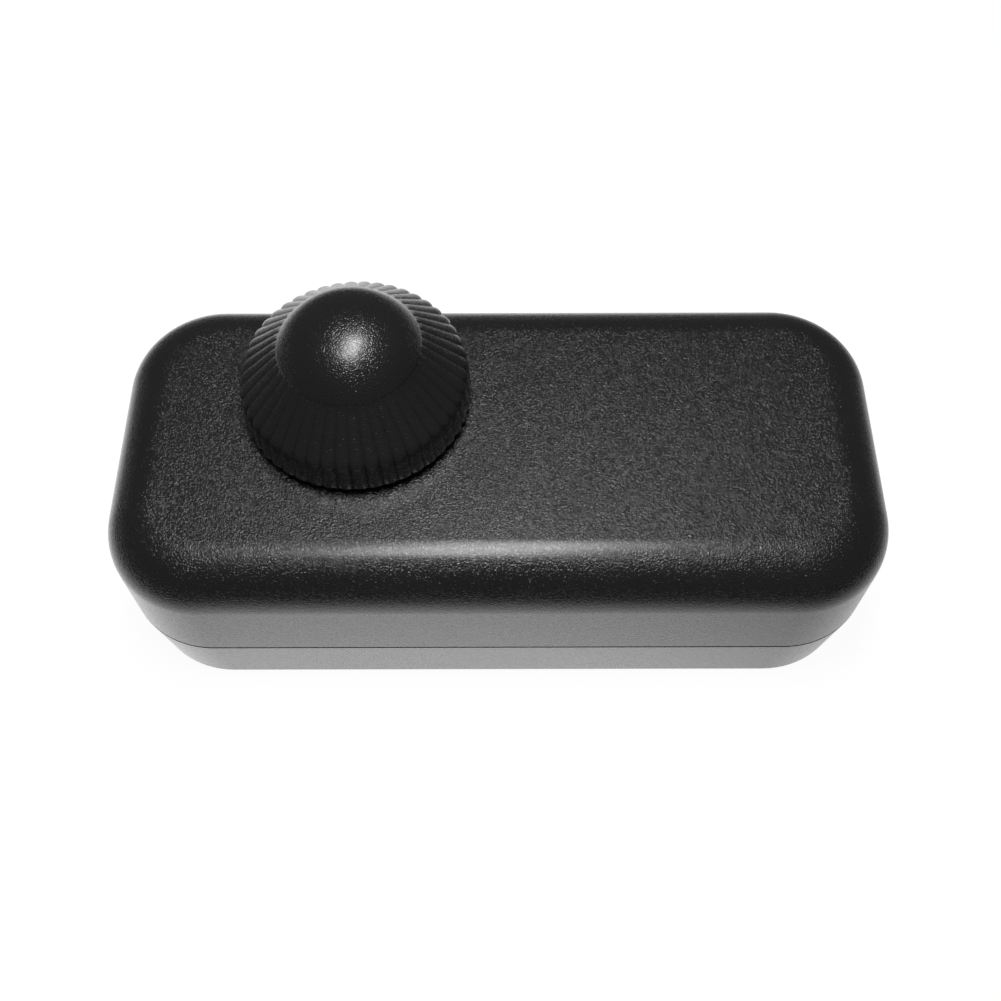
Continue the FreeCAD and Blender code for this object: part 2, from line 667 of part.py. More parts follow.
# Housing
def make_upper_cover():
    body = new_body("cover_body", "upper_cover")
    outline = new_sketch(body, "cover_outline", offset=S.parting_height)
    draw_plan(outline, as_size(0))
    pad(body, "cover_block", outline, S.body_height - S.parting_height)
    room = new_sketch(body, "cover_room_outline", offset=S.parting_height)
    draw_plan(room, S.side_wall)
    straight = pocket(body, "cover_room", room, CEILING - S.parting_height, up=True)
    plane = parting_plane(body, "cover")
    leaned = draft_sides(body, "cover_outer_draft", straight, upright(True), S.cover_draft, plane, False)
    hollow = draft_sides(body, "cover_inner_draft", leaned, upright(False), S.cover_draft, plane, True)
    inside = dress(body, "Chamfer", "cover_room_slope", hollow, flat_at(CEILING), S.ceiling_chamfer)
    dress(body, "Fillet", "cover_top_round", inside, flat_at(COVER_TOP), S.top_round)
    step = new_sketch(body, "cover_step_outline", offset=S.parting_height)
    draw_plan(step, S.side_wall - S.tongue_thickness - S.tongue_gap)
    pocket(body, "cover_step", step, S.tongue_height + S.tongue_gap, up=True)
    bosses = new_sketch(body, "cover_boss_outline", offset=S.parting_height)
    holes = new_sketch(body, "cover_pilot_outline", offset=S.parting_height)
    for sx, sy in CORNERS:
        draw_circle(bosses, S.cover_boss_radius, sx * S.boss_x, sy * S.boss_y)
        draw_circle(holes, S.pilot_radius, sx * S.boss_x, sy * S.boss_y)
    pad(body, "cover_bosses", bosses, CEILING + S.merge_depth - S.parting_height)
    pocket(body, "cover_pilots", holes, S.pilot_depth, up=True)
    seat = new_sketch(body, "cover_seat_outline", offset=PLATE_TOP)
    draw_circle(seat, S.seat_radius, S.knob_x, S.knob_y)
    pad(body, "cover_seat", seat, S.seat_height + S.merge_depth)
    spindle = new_sketch(body, "cover_spindle_outline", offset=PLATE_TOP)
    draw_circle(spindle, S.bush_radius + S.bush_play, S.knob_x, S.knob_y)
    pocket(body, "cover_spindle_hole", spindle, S.seat_height + S.top_wall * 2, up=True)
    pip = new_sketch(body, "cover_pip_outline", offset=CEILING)
    half_x = S.pip_length / 2 + S.bush_play
    half_y = S.pip_width / 2 + S.bush_play
    pip_y = S.knob_y + S.pip_offset
    draw_polygon(pip, [
        (S.knob_x - half_x, pip_y - half_y), (S.knob_x + half_x, pip_y - half_y),
        (S.knob_x + half_x, pip_y + half_y), (S.knob_x - half_x, pip_y + half_y)])
    pocket(body, "cover_pip_hole", pip, S.pip_height - S.seat_height + S.bush_play, up=True)
    inlets = new_sketch(body, "cover_inlet_outline", role="YZ_Plane")
    draw_circle(inlets, S.inlet_radius, 0, S.parting_height)
    pocket(body, "cover_inlets", inlets)


def make_lower_case():
    body = new_body("case_body", "lower_case")
    outline = new_sketch(body, "case_outline", offset=S.parting_height)
    draw_plan(outline, as_size(0))
    pad(body, "case_block", outline, S.parting_height, down=True)
    room = new_sketch(body, "case_room_outline", offset=S.parting_height)
    draw_plan(room, S.side_wall)
    straight = pocket(body, "case_room", room, S.parting_height - S.floor_wall)
    plane = parting_plane(body, "case")
    leaned = draft_sides(body, "case_outer_draft", straight, upright(True), S.case_draft, plane, True)
    hollow = draft_sides(body, "case_inner_draft", leaned, upright(False), S.case_draft, plane, False)
    inside = dress(body, "Chamfer", "case_room_slope", hollow, flat_at(S.floor_wall), S.floor_chamfer)
    dress(body, "Fillet", "case_foot_round", inside, flat_at(as_size(0)), S.foot_round)
    shadow = new_sketch(body, "case_shadow_outline", offset=S.parting_height)
    draw_plan(shadow, as_size(-1))
    draw_plan(shadow, S.shadow_depth)
    pocket(body, "case_shadow_step", shadow, S.shadow_height)
    tongue = new_sketch(body, "case_tongue_outline", offset=S.parting_height)
    draw_plan(tongue, S.side_wall - S.tongue_thickness)
    draw_plan(tongue, S.side_wall)
    pad(body, "case_tongue", tongue, S.tongue_height)
    bosses = new_sketch(body, "case_boss_outline", offset=S.floor_wall - S.merge_depth)
    holes = new_sketch(body, "case_hole_outline")
    wells = new_sketch(body, "case_well_outline")
    for sx, sy in CORNERS:
        draw_circle(bosses, S.case_boss_radius, sx * S.boss_x, sy * S.boss_y)
        draw_circle(holes, S.screw_hole_radius, sx * S.boss_x, sy * S.boss_y)
        draw_circle(wells, S.head_well_radius, sx * S.boss_x, sy * S.boss_y)
    pad(body, "case_bosses", bosses, S.parting_height - S.floor_wall + S.merge_depth)
    pocket(body, "case_screw_holes", holes, S.parting_height * 2, up=True)
    pocket(body, "case_head_wells", wells, S.head_seat, up=True)
    supports = new_sketch(body, "case_post_outline", offset=S.floor_wall - S.merge_depth)
    pilots = new_sketch(body, "case_post_hole_outline", offset=S.board_height)
    pips = new_sketch(body, "case_post_pip_outline", offset=S.board_height)
    for sx, sy in CORNERS:
        draw_circle(supports, S.post_radius, sx * S.post_x, sy * S.post_y)
    for sx, sy in SCREWED_POSTS:
        draw_circle(pilots, S.post_hole, sx * S.post_x, sy * S.post_y)
    for sx, sy in PIP_POSTS:
        draw_circle(pips, S.pip_radius, sx * S.post_x, sy * S.post_y)
    pad(body, "case_posts", supports, S.board_height - S.floor_wall + S.merge_depth)
    pocket(body, "case_post_holes", pilots, S.post_hole_depth)
    pad(body, "case_post_pips", pips, S.board_thickness)
    saddles = new_sketch(body, "case_saddle_outline", offset=S.floor_wall - S.merge_depth)
    stands = new_sketch(body, "case_stand_outline", offset=S.floor_wall - S.merge_depth)
    threads = new_sketch(body, "case_stand_hole_outline", offset=S.clamp_seat)
    for sx in ENDS:
        x, half = sx * S.clamp_x, S.saddle_thickness / 2
        draw_polygon(saddles, [
            (x - half, -S.saddle_width / 2), (x + half, -S.saddle_width / 2),
            (x + half, S.saddle_width / 2), (x - half, S.saddle_width / 2)])
        for sy in (-1, 1):
            draw_circle(stands, S.clamp_post_radius, x, sy * S.clamp_screw_y)
            draw_circle(threads, S.post_hole, x, sy * S.clamp_screw_y)
    pad(body, "case_saddles", saddles, S.parting_height - S.inlet_radius - S.floor_wall + S.merge_depth)
    pad(body, "case_stands", stands, S.clamp_seat - S.floor_wall + S.merge_depth)
    pocket(body, "case_stand_holes", threads, S.board_screw_length)
    inlets = new_sketch(body, "case_inlet_outline", role="YZ_Plane")
    draw_circle(inlets, S.inlet_radius, 0, S.parting_height)
    pocket(body, "case_inlets", inlets)


def make_housing_screws():
    pieces = []
    for sx, sy in CORNERS:
        x, y = sx * S.boss_x, sy * S.boss_y
        head_foot = S.head_seat - S.screw_head_height
        head = post("housing_head", S.screw_head_radius, S.screw_head_height, x, y, head_foot)
        shank = post("housing_shank", S.screw_radius, S.screw_length, x, y, S.head_seat)
        low = S.head_seat - S.screw_head_height
        bars = [
            box("housing_bar", S.recess_span, S.recess_width, S.recess_depth, x, y, low),
            box("housing_bar", S.recess_width, S.recess_span, S.recess_depth, x, y, low)]
        pieces.append(cut("housing_screw", joined("housing_screw_solid", [head, shank]), bars))
    keep(joined("housing_screw_set", pieces), "housing_screws")


# Knob
def flute_section(body, name, height, radius, width):
    """A level section of a flute: a triangle that points to the axis and is as wide as the
    flute where it meets the surface."""
    depth = width * S.flute_slope
    sketch = new_sketch(body, name, offset=height)
    draw_polygon(sketch, [(radius - depth, 0), (radius + depth, width), (radius + depth, -width)])
    return sketch


def make_knob():
    body = new_body("knob_body", "knob", S.knob_x, S.knob_y)
    profile = new_sketch(body, "knob_profile", role="XZ_Plane")
    corners = [
        (as_size(0), KNOB_FOOT), (S.knob_foot_radius, KNOB_FOOT), (S.knob_edge_radius, KNOB_EDGE),
        (S.crease_radius, CREASE), (as_size(0), S.total_height)]
    places = [Vector(x.value, y.value, 0) for x, y in corners]
    lines = [sketch_line(profile, places[i], places[i + 1]) for i in range(3)]
    rise = S.total_height - CREASE
    ball = (S.crease_radius * S.crease_radius + rise * rise) / (2 * rise)
    centre_z = S.total_height.value - ball.value
    start = math.atan2(CREASE.value - centre_z, S.crease_radius.value)
    circle = Part.Circle(Vector(0, centre_z, 0), Vector(0, 0, 1), ball.value)
    arc = profile.addGeometry(Part.ArcOfCircle(circle, start, math.pi / 2))
    axis = sketch_line(profile, places[4], places[0])
    chain = lines + [arc, axis]
    for part, following in zip(chain, chain[1:] + chain[:1]):
        profile.addConstraint(Sketcher.Constraint("Coincident", part, 2, following, 1))
    for line, (x, y) in zip(lines, corners):
        pin_point(profile, line, 1, x, y)
    pin_point(profile, lines[2], 2, *corners[3])
    pin_point(profile, axis, 1, *corners[4])
    measure(profile, "Radius", arc, ball)
    spin(body, "Revolution", "knob_solid", profile)
    sections = [
        (KNOB_FOOT - S.flute_overrun, S.knob_foot_radius, S.flute_width),
        (KNOB_EDGE, S.knob_edge_radius, S.flute_width),
        (CREASE, S.crease_radius, S.flute_crease_width),
        (CREASE + S.flute_overrun, S.crease_radius + S.flute_overrun, S.flute_crease_width)]
    outlines = [flute_section(body, f"flute_outline_{i}", *section) for i, section in enumerate(sections)]
    flute = body.newObject("PartDesign::SubtractiveLoft", "knob_flute")
    flute.Profile = outlines[0]
    flute.Sections = outlines[1:]
    flute.Ruled = True
    doc.recompute()
    around(body, "knob_flutes", flute, S.flute_count)
    slope = math.sqrt(2)
    inner_foot = S.knob_foot_radius - S.knob_wall
    inner_edge = S.knob_edge_radius - S.knob_wall
    inner_top = S.crease_radius + S.knob_ceiling - S.knob_wall * slope
    hollow = new_sketch(body, "knob_hollow_profile", role="XZ_Plane")
    draw_polygon(hollow, [
        (0, KNOB_FOOT), (inner_foot, KNOB_FOOT), (inner_edge, KNOB_EDGE - S.knob_wall / 2),
        (inner_top, KNOB_HOLLOW), (S.hub_radius, KNOB_HOLLOW), (S.hub_radius, HUB_FOOT), (0, HUB_FOOT)])
    spin(body, "Groove", "knob_hollow", hollow)
    webs = new_sketch(body, "knob_web_outline", offset=KNOB_HOLLOW - S.web_height)
    near, half = S.hub_radius - S.web_width / 2, S.web_width / 2
    draw_polygon(webs, [(near, -half), (S.web_reach, -half), (S.web_reach, half), (near, half)])
    web = pad(body, "knob_web", webs, S.web_height + S.merge_depth)
    around(body, "knob_webs", web, S.web_count)
    bore = new_sketch(body, "knob_bore_outline", offset=HUB_FOOT)
    draw_shaft(bore, S.shaft_radius + S.bore_play, S.shaft_flat + S.bore_play)
    pocket(body, "knob_bore", bore, SHAFT_END + S.bore_end_gap - HUB_FOOT, up=True)


def sketch_line(sketch, start, end):
    return sketch.addGeometry(Part.LineSegment(start, end))


# Potentiometer
def make_pot_shaft():
    body = new_body("shaft_body", "pot_shaft", S.knob_x, S.knob_y)
    foot = ROTOR_FOOT - S.rotor_hub_length + S.rotor_floor
    groove_top = PLATE_FOOT - S.ring_gap + S.bore_play
    groove_foot = PLATE_FOOT - S.ring_gap - S.ring_thickness - S.bore_play
    profile = new_sketch(body, "shaft_profile", role="XZ_Plane")
    draw_polygon(profile, [
        (0, foot), (S.shaft_radius, foot), (S.shaft_radius, groove_foot),
        (S.ring_groove_radius, groove_foot),
        (S.ring_groove_radius, groove_top), (S.shaft_radius, groove_top),
        (S.shaft_radius, SHAFT_END - S.shaft_chamfer), (S.shaft_radius - S.shaft_chamfer, SHAFT_END),
        (0, SHAFT_END)])
    spin(body, "Revolution", "shaft_solid", profile)
    flat = new_sketch(body, "shaft_flat_outline", offset=SHAFT_END - S.shaft_flat_length)
    wide = S.shaft_radius + 1
    draw_polygon(flat, [(-wide, S.shaft_flat), (wide, S.shaft_flat), (wide, wide), (-wide, wide)])
    pocket(body, "shaft_flat_cut", flat, S.shaft_flat_length + 1, up=True)


def make_pot_bushing():
    body = new_body("bushing_body", "pot_bushing", S.knob_x, S.knob_y)
    profile = new_sketch(body, "bushing_profile", role="XZ_Plane")
    bore = S.shaft_radius + S.shaft_play
    top = COVER_TOP + S.bush_reach
    draw_polygon(profile, [
        (bore, PLATE_FOOT), (S.can_radius, PLATE_FOOT), (S.can_radius, PLATE_TOP),
        (S.bush_radius, PLATE_TOP), (S.bush_radius, top), (bore, top)])
    spin(body, "Revolution", "bushing_solid", profile)
    pip = new_sketch(body, "bushing_pip_outline", offset=PLATE_TOP - S.merge_depth)
    half = S.pip_length / 2
    low, high = S.pip_offset - S.pip_width / 2, S.pip_offset + S.pip_width / 2
    draw_polygon(pip, [(-half, low), (half, low), (half, high), (-half, high)])
    pad(body, "bushing_pip", pip, S.pip_height + S.merge_depth)


def make_pot_fixings():
    bore = S.bush_radius + S.bush_play / 2
    washer = post("washer_disc", S.washer_radius, S.washer_thickness, S.knob_x, S.knob_y, COVER_TOP)
    washer_hole = post("washer_bore", bore, S.washer_thickness, S.knob_x, S.knob_y, COVER_TOP)
    keep(cut("washer", washer, [washer_hole]), "pot_washer")
    seat = COVER_TOP + S.washer_thickness
    nut = hexagon("nut_prism", S.nut_flats, S.nut_thickness, S.knob_x, S.knob_y, seat)
    nut_hole = post("nut_bore", bore, S.nut_thickness, S.knob_x, S.knob_y, seat)
    keep(cut("nut", nut, [nut_hole]), "pot_nut")
    ring_foot = PLATE_FOOT - S.ring_gap - S.ring_thickness
    ring = post("ring_disc", S.ring_radius, S.ring_thickness, S.knob_x, S.knob_y, ring_foot)
    bore = S.ring_groove_radius + S.bore_play
    ring_hole = post("ring_bore", bore, S.ring_thickness, S.knob_x, S.knob_y, ring_foot)
    mouth = box("ring_mouth", S.ring_groove_radius * 1.7, S.ring_radius, S.ring_thickness,
                S.knob_x, S.knob_y - S.ring_radius / 2, ring_foot)
    keep(cut("ring", ring, [ring_hole, mouth]), "shaft_ring")


def make_pot_can():
    body = new_body("can_body", "pot_can", S.knob_x, S.knob_y)
    outline = new_sketch(body, "can_outline", offset=CAN_FOOT)
    draw_circle(outline, S.can_radius)
    draw_circle(outline, CAN_ROOM)
    pad(body, "can_wall_pad", outline, S.can_length)
    window = new_sketch(body, "can_window_outline", offset=CAN_FOOT)
    half = S.tongue_width / 2 + S.bush_play
    draw_polygon(window, [(-half, 0), (-half, -S.can_radius - 1), (half, -S.can_radius - 1), (half, 0)])
    pocket(body, "can_window", window, WAFER_TOP + S.bush_play - CAN_FOOT, up=True)


def make_pot_rotor():
    body = new_body("rotor_body", "pot_rotor", S.knob_x, S.knob_y)
    hub_foot = ROTOR_FOOT - S.rotor_hub_length
    bore_foot = hub_foot + S.rotor_floor
    bore = S.shaft_radius + S.bore_play
    profile = new_sketch(body, "rotor_profile", role="XZ_Plane")
    draw_polygon(profile, [
        (0, hub_foot), (S.rotor_hub_radius, hub_foot), (S.rotor_hub_radius, ROTOR_FOOT),
        (S.rotor_radius, ROTOR_FOOT),
        (S.rotor_radius, ROTOR_TOP), (bore, ROTOR_TOP), (bore, bore_foot), (0, bore_foot)])
    spin(body, "Revolution", "rotor_solid", profile)
    finger = new_sketch(body, "rotor_finger_outline", offset=hub_foot + S.merge_depth)
    draw_circle(finger, S.finger_radius, 0, -S.finger_offset)
    pad(body, "rotor_finger", finger, S.finger_length + S.merge_depth, down=True)


def make_pot_wiper():
    low = ROTOR_FOOT - S.wiper_thickness
    disc = post("wiper_disc", S.wiper_outer, S.wiper_thickness, S.knob_x, S.knob_y, low)
    hole = post("wiper_bore", S.wiper_inner, S.wiper_thickness, S.knob_x, S.knob_y, low)
    ring = cut("wiper_ring", disc, [hole])
    foot = WAFER_TOP + S.brush_gap
    middle = (S.wiper_inner + S.wiper_outer) / 2
    brushes = []
    for side in (-1, 1):
        x = S.knob_x + side * S.brush_width * 1.1
        reach = low + S.wiper_thickness - foot
        brushes.append(box("wiper_brush", S.brush_width, S.wiper_thickness, reach,
                           x, S.knob_y + middle, foot))
    keep(joined("wiper", [ring] + brushes), "pot_wiper")


def tag_places():
    """The three tags of the wafer, then the two tags of the switch."""
    places = [(S.knob_x + step * S.tag_pitch, S.knob_y - S.tag_offset) for step in (-1, 0, 1)]
    places += [(S.knob_x + side * S.switch_tag_x, S.knob_y + S.switch_tag_y) for side in (-1, 1)]
    return places


def make_pot_wafer():
    disc = post("wafer_disc", CAN_ROOM - S.can_play, S.wafer_thickness, S.knob_x, S.knob_y, WAFER_FOOT)
    tongue = box("wafer_tongue", S.tongue_width, S.tongue_reach, S.wafer_thickness,
                 S.knob_x, S.knob_y - S.tongue_reach / 2, WAFER_FOOT)
    holes = [post("wafer_bore", S.wafer_hole, S.wafer_thickness, S.knob_x, S.knob_y, WAFER_FOOT)]
    tags = []
    width = S.tag_hole * 2
    for x, y in tag_places()[:3]:
        holes.append(box("wafer_tag_hole", width, width, S.wafer_thickness, x, y, WAFER_FOOT))
        tag = box("wafer_tag", S.tag_width, S.tag_thickness, WAFER_TOP - LEAD_END, x, y, LEAD_END)
        rivet = post("wafer_rivet", S.rivet_radius, S.rivet_height, x, y, WAFER_TOP)
        tags.append(joined("wafer_terminal", [tag, rivet]))
    keep(cut("wafer", joined("wafer_blank", [disc, tongue]), holes), "pot_wafer")
    keep(joined("wafer_terminals", tags), "pot_terminals")


def make_switch():
    floor = SWITCH_FOOT + S.switch_floor
    shell = post("switch_shell", S.can_radius, S.switch_height, S.knob_x, S.knob_y, SWITCH_FOOT)
    spigot = post("switch_spigot", CAN_ROOM - S.can_play, WAFER_FOOT - CAN_FOOT,
                  S.knob_x, S.knob_y, CAN_FOOT)
    room = post("switch_room_cut", S.switch_room, WAFER_FOOT - floor, S.knob_x, S.knob_y, floor)
    holes, contacts = [], []
    width = S.tag_hole * 2
    for side, (x, y) in zip((-1, 1), tag_places()[3:]):
        holes.append(box("switch_tag_hole", width, width, S.switch_floor, x, y, SWITCH_FOOT))
        tag = box("switch_tag", S.tag_width, S.tag_thickness, floor - LEAD_END, x, y, LEAD_END)
        reach = x - side * S.contact_length / 2 + side * S.tag_width / 2
        arm = box("switch_arm", S.contact_length, S.tag_width * 1.5, S.contact_height, reach, y, floor)
        contacts.append(joined("switch_contact", [tag, arm]))
    keep(cut("switch_cup", joined("switch_cup_solid", [shell, spigot]), [room] + holes), "switch_housing")
    keep(joined("switch_contacts", contacts), "switch_terminals")
    y = S.knob_y + S.lever_offset
    bar = box("lever_bar", S.lever_length, S.lever_width, S.lever_height, S.knob_x, y, floor)
    prongs = [box("lever_prong", S.prong_size, S.prong_size, S.prong_height + S.lever_height,
                  S.knob_x + side * (S.lever_length - S.prong_size) / 2, y, floor) for side in (-1, 1)]
    keep(joined("lever", [bar] + prongs), "switch_lever")


# Circuit board and its parts
def lead_places():
    """Every tag and lead that goes through the board."""
    places = tag_places()
    for side in (-1, 1):
        places.append((S.film_x + side * S.film_pitch / 2, S.film_y))
        places.append((S.timing_x + side * S.timing_pitch / 2, S.timing_y))
        places.append((S.diac_x + side * S.diac_span / 2, S.diac_y))
        places.append((S.fuse_x + side * S.clip_offset, S.fuse_y))
        for row in (0, 1):
            y = S.resistor_y + row * S.resistor_pitch
            places.append((S.resistor_x + side * S.resistor_span / 2, y))
        for pole in (-1, 1):
            places.append((side * S.block_x, pole * S.pole_pitch / 2))
    for dx, dy in choke_leads():
        places.append((S.choke_x + dx, S.choke_y + dy))
    for step in (-1, 0, 1):
        places.append((S.sink_x + step * S.triac_pitch, S.triac_front - S.triac_lead_reach))
    return places


def choke_leads():
    """Where the two ends of the winding leave it, from the choke's axis."""
    radius = S.core_outer + S.wire_layer / 2
    turns = (math.radians(6), math.radians(294))
    return [(radius * math.cos(turn), radius * math.sin(turn)) for turn in turns]


def make_circuit_board():
    body = new_body("board_body", "circuit_board")
    outline = new_sketch(body, "board_outline", offset=S.board_height)
    a, b = S.board_length / 2, S.board_width / 2
    c, d = S.board_end / 2, S.board_end_width / 2
    draw_polygon(outline, [
        (-a, -b), (a, -b), (a, -d), (c, -d), (c, d), (a, d),
        (a, b), (-a, b), (-a, d), (-c, d), (-c, -d), (-a, -d)])
    for x, y in lead_places():
        draw_square(outline, x, y, S.tag_hole)
    draw_circle(outline, S.tab_hole, S.sink_x, BOLT_Y)
    for sx, sy in CORNERS:
        draw_circle(outline, S.post_hole + S.bush_play, sx * S.post_x, sy * S.post_y)
    pad(body, "board_sheet", outline, S.board_thickness)


def slotted_screw(name, x, y, seat, head, head_height, radius, length):
    """A small screw whose head stands on the seat."""
    top = post(f"{name}_head", head, head_height, x, y, seat)
    shank = post(f"{name}_shank", radius, length, x, y, seat - length)
    slot_foot = seat + head_height - S.board_slot_depth
    slot = box(f"{name}_slot", head * 2.2, S.board_slot_width, S.board_slot_depth, x, y, slot_foot)
    return cut(name, joined(f"{name}_solid", [top, shank]), [slot])


def make_board_screws():
    screws = [slotted_screw("board_screw", sx * S.post_x, sy * S.post_y, BOARD_TOP, S.board_screw_head,
                            S.board_screw_head_height, S.board_screw_radius, S.board_screw_length)
              for sx, sy in SCREWED_POSTS]
    keep(joined("board_screw_set", screws), "board_screws")


def make_capacitor(label, x, y, length, width, height, pitch):
    block = bevelled_block(f"{label}_case", length, width, height, x, y, BOARD_TOP, S.case_edge)
    leads = [wire_down(f"{label}_lead", x + side * pitch / 2, y, BOARD_TOP) for side in (-1, 1)]
    keep(joined(f"{label}_all", [block] + leads), label)


def ring_profile(body, name, inner, outer, low, high):
    sketch = new_sketch(body, name, role="XZ_Plane")
    draw_polygon(sketch, [(inner, low), (outer, low), (outer, high), (inner, high)])
    return sketch


def make_choke():
    low = BOARD_TOP + S.wire_layer
    high = low + S.core_height
    core = new_body("core_body", "choke_core", S.choke_x, S.choke_y)
    section = ring_profile(core, "core_profile", S.core_inner, S.core_outer, low, high)
    spin(core, "Revolution", "core_ring", section)
    coil = new_body("coil_body", "choke_winding", S.choke_x, S.choke_y)
    wire, play = S.wire_layer, S.wire_play
    outer = ring_profile(
        coil, "coil_profile", S.core_inner - wire, S.core_outer + wire, low - wire, high + wire)
    inner = ring_profile(
        coil, "coil_core_profile", S.core_inner - play, S.core_outer + play, low - play, high + play)
    ring = spin(coil, "Revolution", "coil_ring", outer)
    link(ring, "Angle", S.winding_angle)
    spin(coil, "Groove", "coil_room", inner)
    leads = new_sketch(coil, "coil_lead_outline", offset=low - wire / 2)
    for dx, dy in choke_leads():
        draw_square(leads, dx, dy, S.lead_radius)
    pad(coil, "coil_leads", leads, low - wire / 2 - LEAD_END, down=True)


def make_triac():
    back = S.sink_back - S.sink_thickness
    depth = S.sink_back - S.sink_front
    foot = box("sink_foot", S.sink_width, depth, S.sink_thickness,
               S.sink_x, S.sink_front + depth / 2, BOARD_TOP)
    fin = box("sink_fin", S.sink_width, S.sink_thickness, S.sink_height,
              S.sink_x, back + S.sink_thickness / 2, BOARD_TOP)
    sink_hole = post("sink_hole", S.tab_hole, S.sink_thickness, S.sink_x, BOLT_Y, BOARD_TOP)
    keep(cut("sink", joined("sink_blank", [foot, fin]), [sink_hole]), "heat_sink")
    middle = S.triac_front + S.tab_length / 2
    tab = box("triac_tab", S.triac_width, S.tab_length, S.tab_thickness, S.sink_x, middle, SINK_TOP)
    tab_hole = post("triac_tab_hole", S.tab_hole, S.tab_thickness, S.sink_x, BOLT_Y, SINK_TOP)
    pieces = [cut("triac_plate", tab, [tab_hole])]
    size = S.triac_lead_size
    lead_length = S.triac_lead_reach + size / 2 + S.merge_depth
    lead_y = S.triac_front + S.merge_depth - lead_length / 2
    leg_height = SINK_TOP + size - LEAD_END
    for step in (-1, 0, 1):
        x = S.sink_x + step * S.triac_pitch
        pieces.append(box("triac_lead", size, lead_length, size, x, lead_y, SINK_TOP + size / 2))
        pieces.append(box("triac_leg", size, size, leg_height,
                          x, S.triac_front - S.triac_lead_reach, LEAD_END))
    keep(joined("triac_metal", pieces), "triac_frame")
    keep(bevelled_block("triac_case", S.triac_width, S.triac_body_length, S.triac_body_height,
                        S.sink_x, S.triac_front + S.triac_body_length / 2, TAB_TOP, S.case_edge),
         "triac_body")
    shank = TAB_TOP - S.board_height + S.bolt_nut_height + S.bolt_end
    keep(slotted_screw("bolt", S.sink_x, BOLT_Y, TAB_TOP, S.bolt_head_radius, S.bolt_head_height,
                       S.bolt_radius, shank), "triac_screw")
    foot_z = S.board_height - S.bolt_nut_height
    nut = hexagon("bolt_nut", S.bolt_nut_flats, S.bolt_nut_height, S.sink_x, BOLT_Y, foot_z)
    nut_hole = post("bolt_nut_hole", S.bolt_radius + S.bore_play, S.bolt_nut_height,
                    S.sink_x, BOLT_Y, foot_z)
    keep(cut("bolt_nut_cut", nut, [nut_hole]), "triac_nut")


def axial_part(name, x, y, length, radius, span):
    """A round body on a bent wire lead, laid along X."""
    height = BOARD_TOP + S.resistor_lift + radius
    wire = S.lead_radius
    pieces = [
        rod(f"{name}_body", radius, length, x, y, height),
        wire_along(f"{name}_wire", span + 2 * wire, x, y, height)]
    for side in (-1, 1):
        pieces.append(wire_down(f"{name}_leg", x + side * span / 2, y, height + wire))
    return joined(f"{name}_all", pieces)


def make_axial_parts():
    resistors = [axial_part("resistor", S.resistor_x, S.resistor_y + row * S.resistor_pitch,
                            S.resistor_length, S.resistor_radius, S.resistor_span) for row in (0, 1)]
    keep(joined("resistor_pair", resistors), "resistors")
    keep(axial_part("diac", S.diac_x, S.diac_y, S.diac_length, S.diac_radius, S.diac_span), "diac")


def make_fuse():
    height = BOARD_TOP + S.fuse_lift
    glass_length = S.fuse_length - 2 * S.cap_wall - 0.1
    tube = rod("fuse_glass", S.fuse_radius, glass_length, S.fuse_x, S.fuse_y, height)
    bore = rod("fuse_bore", S.fuse_radius - S.fuse_glass, glass_length, S.fuse_x, S.fuse_y, height)
    keep(cut("fuse_pipe", tube, [bore]), "fuse_tube")
    caps, clips = [], []
    cap_radius = S.fuse_radius + S.bore_play + S.cap_wall
    for side in (-1, 1):
        x = S.fuse_x + side * (S.fuse_length - S.cap_length) / 2
        shell = rod("fuse_cap", cap_radius, S.cap_length, x, S.fuse_y, height)
        inner = rod("fuse_cap_room", S.fuse_radius + S.bore_play, S.cap_length - S.cap_wall,
                    x - side * S.cap_wall / 2, S.fuse_y, height)
        caps.append(cut("fuse_cap_cup", shell, [inner]))
        x = S.fuse_x + side * S.clip_offset
        grip = cap_radius + S.bore_play
        outer = rod("clip_outer", grip + S.clip_wall, S.clip_width, x, S.fuse_y, height)
        foot = box("clip_foot", S.clip_width, S.fuse_radius * 2, S.clip_wall, x, S.fuse_y, BOARD_TOP)
        neck = box("clip_neck", S.clip_width, S.clip_wall * 2, S.fuse_lift - grip, x, S.fuse_y, BOARD_TOP)
        inner = rod("clip_inner", grip, S.clip_width, x, S.fuse_y, height)
        mouth = box("clip_mouth", S.clip_width, S.clip_opening, S.fuse_lift, x, S.fuse_y, height)
        leg = box("clip_leg", S.tag_width, S.tag_thickness, BOARD_TOP - LEAD_END, x, S.fuse_y, LEAD_END)
        spring = cut("clip_spring", joined("clip_solid", [outer, foot, neck]), [inner, mouth])
        clips.append(joined("clip", [spring, leg]))
    keep(joined("fuse_cap_pair", caps), "fuse_caps")
    keep(joined("clip_pair", clips), "fuse_clips")


